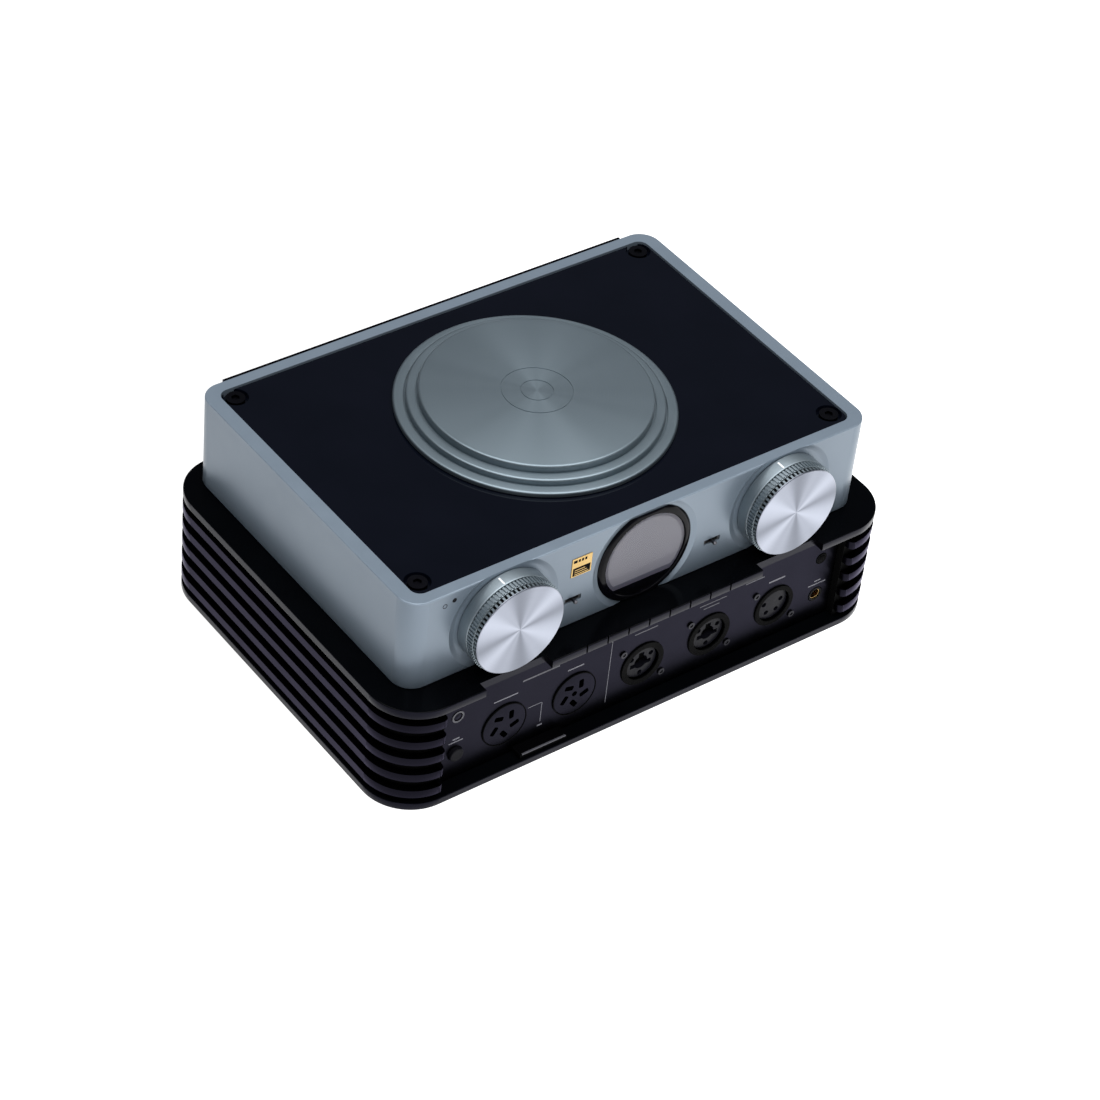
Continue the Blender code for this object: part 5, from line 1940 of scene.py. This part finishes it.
    def disc(self) -> None:
        """Stepped disc, with a fine groove at the foot of each step and plain engraved rings."""
        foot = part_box("top_disc")[0][2]
        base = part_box("upper_case")[1][2]
        spot = middle("top_disc")
        top = base + self.steps[-1][1]
        shape: list[tuple[float, ...]] = [(0.0, top)]
        floor = top - self.ring_depth
        for radius in self.rings:
            outer = radius + self.ring_width
            shape += [(radius, top), (radius, floor), (outer, floor), (outer, top)]
        for index in range(len(self.steps) - 1, -1, -1):
            radius, rise = self.steps[index]
            shape.append((radius, base + rise, 0.001))
            if index:
                below = base + self.steps[index - 1][1]
                shape += [(radius, below - 0.0005), (radius + 0.0006, below - 0.0005), (radius + 0.0006, below, 0.0002)]
        shape += [(self.steps[0][0], foot, 0.0002), (0.0, foot)]
        disc = turned("stepped_disc", rounded_profile(shape, 5), LARGEST_ROUND)
        # The disc's faint lighter wedges are painted highlights.
        metal = SpunWithPaintedHighlights("spun_silver", (0.185, 0.228, 0.256), (0.218, 0.266, 0.298), tuple(spot), "Z",
                     (0.42, 0.5), 0.2, highlight_spokes=0.8)
        stand = Matrix.Translation((spot.x, spot.y, 0.0))
        seated(disc, stand, metal.made(), Body.CHASSIS, ("top_disc",))

    def rear(self) -> None:
        """Vented rear plate."""
        dress_node("upper_rear_panel", self.finishes["panel_black"])

    def marks(self) -> None:
        """Status light, its faint ring mark and the plain two-tone badge."""
        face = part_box("upper_case")[0][1]
        light = middle("status_light")
        dress_node("status_light", self.finishes["inside_black"])
        section = [(0.0008, -0.0001), (0.0008, 0.00005), (0.0011, 0.00005), (0.0011, -0.0001)]
        ring = turned("ring_mark", section, SMALL_ROUND)
        put(ring, facing_front(light.x - 0.0045, face, light.z - 0.0012))
        fit(ring, self.finishes["inside_black"], Body.CHASSIS)
        self.badge(face)

    def badge(self, face: float) -> None:
        """Plain gold and black plate with bars, which stands for no mark.

        Args:
            face: Place of the case's front face.
        """
        x = middle("bass_lever").x + self.badge_shift
        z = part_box("upper_case")[1][2] - self.badge_drop
        half_x, half_z = self.badge_half
        start = (x - half_x, face - 0.0003, z - half_z)
        plate = bar("badge_plate", start, (x + half_x, face + 0.0002, z + half_z), 0.0001)
        fit(plate, self.finishes["gold"], Body.CHASSIS)
        inner = half_x - 0.0007
        black = [
            ((x - inner, z - half_z + 0.0006), (x + inner, z - 0.0002)),
            ((x - inner, z + half_z - 0.0022), (x - inner + 0.0018, z + half_z - 0.0009)),
        ]
        black += [
            ((x - inner + 0.0024 + 0.0016 * step, z + half_z - 0.0022),
             (x - inner + 0.0034 + 0.0016 * step, z + half_z - 0.0009))
            for step in range(3)
        ]
        bars = [bar("ink", (a[0], face - 0.00036, a[1]), (b[0], face + 0.0001, b[1])) for a, b in black]
        fit(merged("badge_ink", bars), self.finishes["hole_black"], Body.CHASSIS)
        lines = [
            bar("line", (x - inner + 0.0008, face - 0.00042, z - half_z + 0.0011 + 0.0011 * step),
                (x + inner - 0.0008 - 0.0009 * step, face, z - half_z + 0.00145 + 0.0011 * step))
            for step in range(3)
        ]
        fit(merged("badge_lines", lines), self.finishes["gold"], Body.CHASSIS)


@dataclass
class Knob:
    """One rotary control: smooth collar with a pointer, knurled grip and a spun cap."""

    finishes: Finishes
    prefix: str
    body: Body
    collar_back: float = -0.0006
    shaft_bore: float = 0.0034
    nut_room: float = 0.0095
    nut_depth: float = 0.0032
    pointer_turn: float = 13.0
    pointer_half: float = 0.0004
    pointer_inset: float = 0.0006
    knurls: int = 84
    knurl_size: tuple[float, float] = (0.0008, 0.0012)
    serrations: int = 66
    serration_size: tuple[float, float] = (0.0009, 0.001)
    tooth_seat: float = 0.0006
    face_thickness: float = 0.0005

    def build(self, rims: Tree) -> None:
        """Make the knob's pieces.

        Args:
            rims: The tree that sets teeth round a rim.
        """
        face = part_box("upper_case")[0][1]
        spot = middle(f"{self.prefix}_cap")
        stand = facing_front(spot.x, face, spot.z)
        self.collar(stand, face)
        self.grip(stand, face, rims)
        self.cap(stand, face, rims, (spot.x, face, spot.z))
        dress_node(f"{self.prefix}_shaft", self.finishes["bright_steel"])
        dress_node(f"{self.prefix}_nut", self.finishes["bright_steel"])

    def span(self, part: str, face: float) -> tuple[float, float, float]:
        """Lowest and highest stand-off of one of the knob's nodes, and its radius."""
        low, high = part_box(f"{self.prefix}_{part}")
        return face - high[1], face - low[1], (high[0] - low[0]) / 2

    def collar(self, stand: Matrix, face: float) -> None:
        """Smooth collar next to the case, with its pointer line.

        Args:
            stand: The knob's place.
            face: Place of the case's front face.
        """
        low, high, radius = self.span("collar", face)
        low = max(low, self.collar_back)
        bore, room, depth = self.shaft_bore, self.nut_room, self.nut_depth
        shape = rounded_profile([
            (bore, high), (radius - 0.0016, high), (radius, high, 0.0007), (radius, low, 0.0003), (room, low),
            (room, depth), (bore, depth),
        ])
        collar = turned(f"{self.prefix}_collar_ring", shape, LARGE_ROUND)
        seated(collar, stand, self.finishes["collar_grey"], self.body, (f"{self.prefix}_collar",))
        half, inset = self.pointer_half, self.pointer_inset
        start = (-half, radius - 0.0004, inset)
        pointer = bar(f"{self.prefix}_pointer", start, (half, radius + 0.00006, high - inset))
        put(pointer, stand @ Matrix.Rotation(math.radians(self.pointer_turn), 4, "Z"))
        fit(pointer, self.finishes["ink_white"], self.body)

    def grip(self, stand: Matrix, face: float, rims: Tree) -> None:
        """Knurled grip ring.

        Args:
            stand: The knob's place.
            face: Place of the case's front face.
            rims: The tree that sets teeth round a rim.
        """
        low, high, radius = self.span("grip", face)
        core = radius - self.tooth_seat
        bore = self.shaft_bore
        width, depth = self.knurl_size
        shape = rounded_profile([(bore, high), (core, high, 0.0003), (core, low, 0.0003), (bore, low)])
        seed = turned(f"{self.prefix}_grip_core", shape, LARGE_ROUND)
        grip = rims.grow(
            f"{self.prefix}_knurled_grip", seed, self.finishes["collar_grey"],
            Count=self.knurls, Radius=core, Tooth__Width=width, Tooth__Depth=depth,
            Tooth__Length=high - low - 0.0003, Height=(low + high) / 2,
        )
        seated(grip, stand, self.finishes["collar_grey"], self.body, (f"{self.prefix}_grip",))

    def cap(self, stand: Matrix, face: float, rims: Tree, centre: Point) -> None:
        """Bright spun face over a toothed rim, with a near-black core between the teeth as painted shade in the gaps.

        Args:
            stand: The knob's place.
            face: Place of the case's front face.
            rims: The tree that sets teeth round a rim.
            centre: A point on the knob's axis.
        """
        low, high, radius = self.span("cap", face)
        under = high - self.face_thickness
        # The cap's wide lighter and darker wedges are painted highlights.
        metal = SpunWithPaintedHighlights(f"{self.prefix}_spun", (0.155, 0.168, 0.2), (0.4, 0.425, 0.495), centre, "Y",
                     (0.3, 0.38), highlight_spokes=0.6, seed=0.35).made()
        shape = rounded_profile([
            (0.0, high - 0.0003), (radius * 0.5, high - 0.00022), (radius - 0.0004, high, 0.0001),
            (radius, high - 0.0003, 0.0001), (radius, under), (0.0, under),
        ])
        spun = turned(f"{self.prefix}_spun_cap", shape, LARGEST_ROUND)
        put(spun, stand)
        smooth(spun, NARROW_CREASE)
        fit(spun, metal, self.body, (f"{self.prefix}_cap",))
        inside, outside, step = radius - 0.0014, radius - 0.0002, under - 0.0002
        seed = turned("rim_seed", [(inside, under), (outside, under), (outside, step), (inside, step)], LARGE_ROUND)
        back = low + 0.0001
        width, depth = self.serration_size
        rim = rims.grow(
            f"{self.prefix}_toothed_rim", seed, self.finishes["collar_grey"],
            Count=self.serrations, Radius=radius - self.tooth_seat, Tooth__Width=width, Tooth__Depth=depth,
            Tooth__Length=under - back, Height=(under + back) / 2,
        )
        seated(rim, stand, self.finishes["collar_grey"], self.body)
        # Near-black core behind the teeth: painted shade in the gaps between them.
        inner, foot = radius - 0.0009, low - 0.0002
        section = [(0.0, under), (inner, under), (inner, foot), (0.0, foot)]
        neck = turned(f"{self.prefix}_neck", section, LARGE_ROUND)
        seated(neck, stand, self.finishes["hole_black"], self.body)


@dataclass
class RoundDisplay:
    """Round display: bezel, domed glass, screen and its border."""

    finishes: Finishes
    screen: float = 0.01867
    border: float = 0.0201
    screen_chord: float = 0.0113
    border_chord: float = 0.0139
    trim: float = 0.0217
    sheet: float = 0.00008

    def build(self) -> None:
        """Make the display's pieces."""
        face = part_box("upper_case")[0][1]
        spot = middle("display_lens")
        stand = facing_front(spot.x, face, spot.z)
        low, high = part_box("display_bezel")
        outer = (high[0] - low[0]) / 2
        shape = rounded_profile([
            (0.0190, -0.0016), (0.0203, -0.0016), (0.0203, 0.0004, 0.0001), (0.0206, 0.0006, 0.0002),
            (0.0226, 0.0004, 0.0012), (outer, -0.0005, 0.0003), (outer, -0.0007), (0.0209, -0.0007),
            (0.0209, -0.0052), (0.0190, -0.0052),
        ])
        bezel = turned("bezel_ring", shape, LARGEST_ROUND)
        tools = [
            bar("trim", (-0.03, self.trim, -0.01), (0.03, 0.03, 0.01)),
            bar("trim", (-0.03, -0.03, -0.01), (0.03, -self.trim, 0.01)),
        ]
        combined(bezel, tools, "DIFFERENCE")
        seated(bezel, stand, self.finishes["bezel_gloss"], Body.CHASSIS, ("display_bezel",))
        backing = turned("display_back", [(0.0, -0.0003), (0.0202, -0.0003), (0.0202, -0.0015), (0.0, -0.0015)])
        seated(backing, stand, self.finishes["bezel_gloss"], Body.CHASSIS, ("display_module",))
        for name, radius, chord, level, tint in (
            ("display_border", self.border, self.border_chord, -0.0002, "screen_border"),
            ("display_screen", self.screen, self.screen_chord, -0.0001, "screen_lilac"),
        ):
            under = level - self.sheet
            panel = turned(name, [(0.0, level), (radius, level), (radius, under), (0.0, under)], LARGE_ROUND)
            combined(panel, [bar("chord", (-0.03, -0.03, -0.01), (0.03, -chord, 0.01))], "DIFFERENCE")
            put(panel, stand)
            fit(panel, self.finishes[tint], Body.CHASSIS)
        glass = turned("display_glass", rounded_profile([
            (0.0, 0.0006), (0.010, 0.0005), (0.0180, 0.0003), (0.0202, 0.0001, 0.0001), (0.0202, 0.0), (0.0, 0.0),
        ]), LARGE_ROUND)
        seated(glass, stand, self.finishes["clear_glass"], Body.CHASSIS, ("display_lens",))


@dataclass
class LeverSwitch:
    """One mini lever switch in its slot."""

    finishes: Finishes
    prefix: str
    body: Body

    def build(self) -> None:
        """Make the lever and dress its body."""
        low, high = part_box(f"{self.prefix}_lever")
        spot = middle(f"{self.prefix}_lever")
        pivot = high[1] - 0.0014
        reach = pivot - low[1]
        shape = rounded_profile([
            (0.0, reach), (0.0008, reach, 0.0003), (0.00095, reach - 0.0006, 0.0002), (0.0007, reach - 0.0022, 0.0004),
            (0.0005, reach - 0.0030), (0.0005, 0.0012), (0.0012, 0.0002, 0.0004), (0.0009, -0.001), (0.0, -0.0014),
        ])
        lever = turned(f"{self.prefix}_lever_arm", shape, 32)
        stand = facing_front(spot.x, pivot, spot.z)
        seated(lever, stand, self.finishes["lever_steel"], self.body, (f"{self.prefix}_lever",))
        dress_node(f"{self.prefix}_switch", self.finishes["black_plastic"])


@dataclass
class InsideParts:
    """Boards and the parts on them, which the housings hide."""

    finishes: Finishes

    def build(self) -> None:
        """Dress the inner nodes."""
        for finish, nodes in (
            ("board_green", ("main_board", "upper_board")),
            ("core_iron", ("bias_transformer",)),
            ("black_plastic", ("capacitor_left", "capacitor_right", "power_switch", "volume_pot", "selector_encoder")),
            ("valve_socket_cream", ("valve_socket_left", "valve_socket_right")),
            ("clear_glass", ("valve_left", "valve_right")),
        ):
            for node in nodes:
                dress_node(node, self.finishes[finish])


# ---------------------------------------------------------------- studio


@dataclass
class Studio:
    """Pale floor, soft lights and the camera."""

    azimuth: float = -40.36
    elevation: float = 40.59
    roll: float = 6.51
    distance: float = 1.3664
    target: Point = (-0.01969, -0.04196, 0.0733)
    lens: float = 108.5
    glow: tuple[float, float] = (0.9, 1.7)
    glow_towards: Point = (0.65, -0.76, 0.0)
    glow_reach: float = 0.22
    floor_half: float = 6.0
    floor_depth: float = 0.004

    def build(self) -> None:
        """Make the floor, lights and camera."""
        self.floor()
        self.light("overhead", (0.0, -0.4, 3.0), (0.0, -0.1, 0.0), 4.0, 175.0)
        self.light("front_left", (-1.9, -1.9, 1.5), (0.0, 0.0, 0.05), 0.9, 7.0)
        self.surroundings()
        self.camera()

    def floor(self) -> None:
        """Wide pale floor."""
        shade = Shade("floor_pale")
        shade.set(Roughness=0.9, Emission__Color=(1.0, 1.0, 1.0, 1.0))
        across = shade.nodes.new("ShaderNodeVectorMath")
        across.operation = "DOT_PRODUCT"
        across.inputs[1].default_value = self.glow_towards
        shade.links.new(shade.place, across.inputs[0])
        glow = shade.nodes.new("ShaderNodeMapRange")
        glow.interpolation_type = "SMOOTHSTEP"
        glow.inputs["From Min"].default_value = -self.glow_reach
        glow.inputs["From Max"].default_value = self.glow_reach
        glow.inputs["To Min"].default_value = self.glow[0]
        glow.inputs["To Max"].default_value = self.glow[1]
        shade.links.new(across.outputs["Value"], glow.inputs["Value"])
        shade.feed(
            Base__Color=shade.blended(shade.noise(2.0), (0.16, 0.16, 0.16), (0.18, 0.18, 0.18)),
            Emission__Strength=glow.outputs["Result"],
        )
        shade.material.cycles.emission_sampling = "NONE"
        half = self.floor_half
        floor = bar("floor", (-half, -half, -self.floor_depth), (half, half, 0.0))
        floor.data.materials.append(shade.material)

    def light(self, name: str, place: Point, aim: Point, size: float, power: float) -> None:
        """Make one soft square light.

        Args:
            name: Its name.
            place: Where it stands.
            aim: What it points at.
            size: Its side.
            power: Its power in watts.
        """
        data = bpy.data.lights.new(name, "AREA")
        data.shape = "SQUARE"
        data.size = size
        data.energy = power
        lamp = bpy.data.objects.new(name, data)
        lamp.location = place
        lamp.rotation_euler = (Vector(aim) - Vector(place)).to_track_quat("-Z", "Y").to_euler()
        bpy.context.scene.collection.objects.link(lamp)

    def surroundings(self) -> None:
        """Even dim light from all round."""
        world = bpy.data.worlds.new("studio")
        world.use_nodes = True
        back = world.node_tree.nodes["Background"]
        back.inputs["Color"].default_value = (0.8, 0.88, 1.0, 1.0)
        back.inputs["Strength"].default_value = 0.14
        bpy.context.scene.world = world
        bpy.context.scene.view_settings.view_transform = "Standard"

    def camera(self) -> None:
        """Camera at the view's angle, with its roll."""
        turn = math.radians(self.azimuth)
        rise = math.radians(self.elevation)
        back = Vector((math.sin(turn) * math.cos(rise), -math.cos(turn) * math.cos(rise), math.sin(rise)))
        right = (-back).cross(Vector((0.0, 0.0, 1.0))).normalized()
        up = right.cross(-back)
        roll = math.radians(self.roll)
        across = right * math.cos(roll) + up * math.sin(roll)
        upward = up * math.cos(roll) - right * math.sin(roll)
        data = bpy.data.cameras.new("camera")
        data.lens = self.lens
        made = bpy.data.objects.new("camera", data)
        basis = Matrix((across, upward, back)).transposed().to_4x4()
        made.matrix_world = Matrix.Translation(Vector(self.target) + back * self.distance) @ basis
        bpy.context.scene.collection.objects.link(made)
        bpy.context.scene.camera = made


def main() -> None:
    """Build the amplifier's looks piece by piece."""
    logging.basicConfig(level=logging.INFO, format="%(name)s: %(message)s")
    Studio().build()
    finishes = Finishes()
    screws = screw_tree()
    rims = rim_tree()
    LowerUnit(finishes).build()
    RearConnectors(finishes).build(screws)
    FrontSockets(finishes).build(screws)
    PanelMarks(finishes).build()
    PanelControls(finishes).build()
    UpperUnit(finishes).build(screws)
    Knob(finishes, "volume", Body.VOLUME).build(rims)
    Knob(finishes, "selector", Body.SELECTOR).build(rims)
    RoundDisplay(finishes).build()
    LeverSwitch(finishes, "bass", Body.BASS).build()
    LeverSwitch(finishes, "width", Body.WIDTH).build()
    InsideParts(finishes).build()


if __name__ == "__main__":
    main()
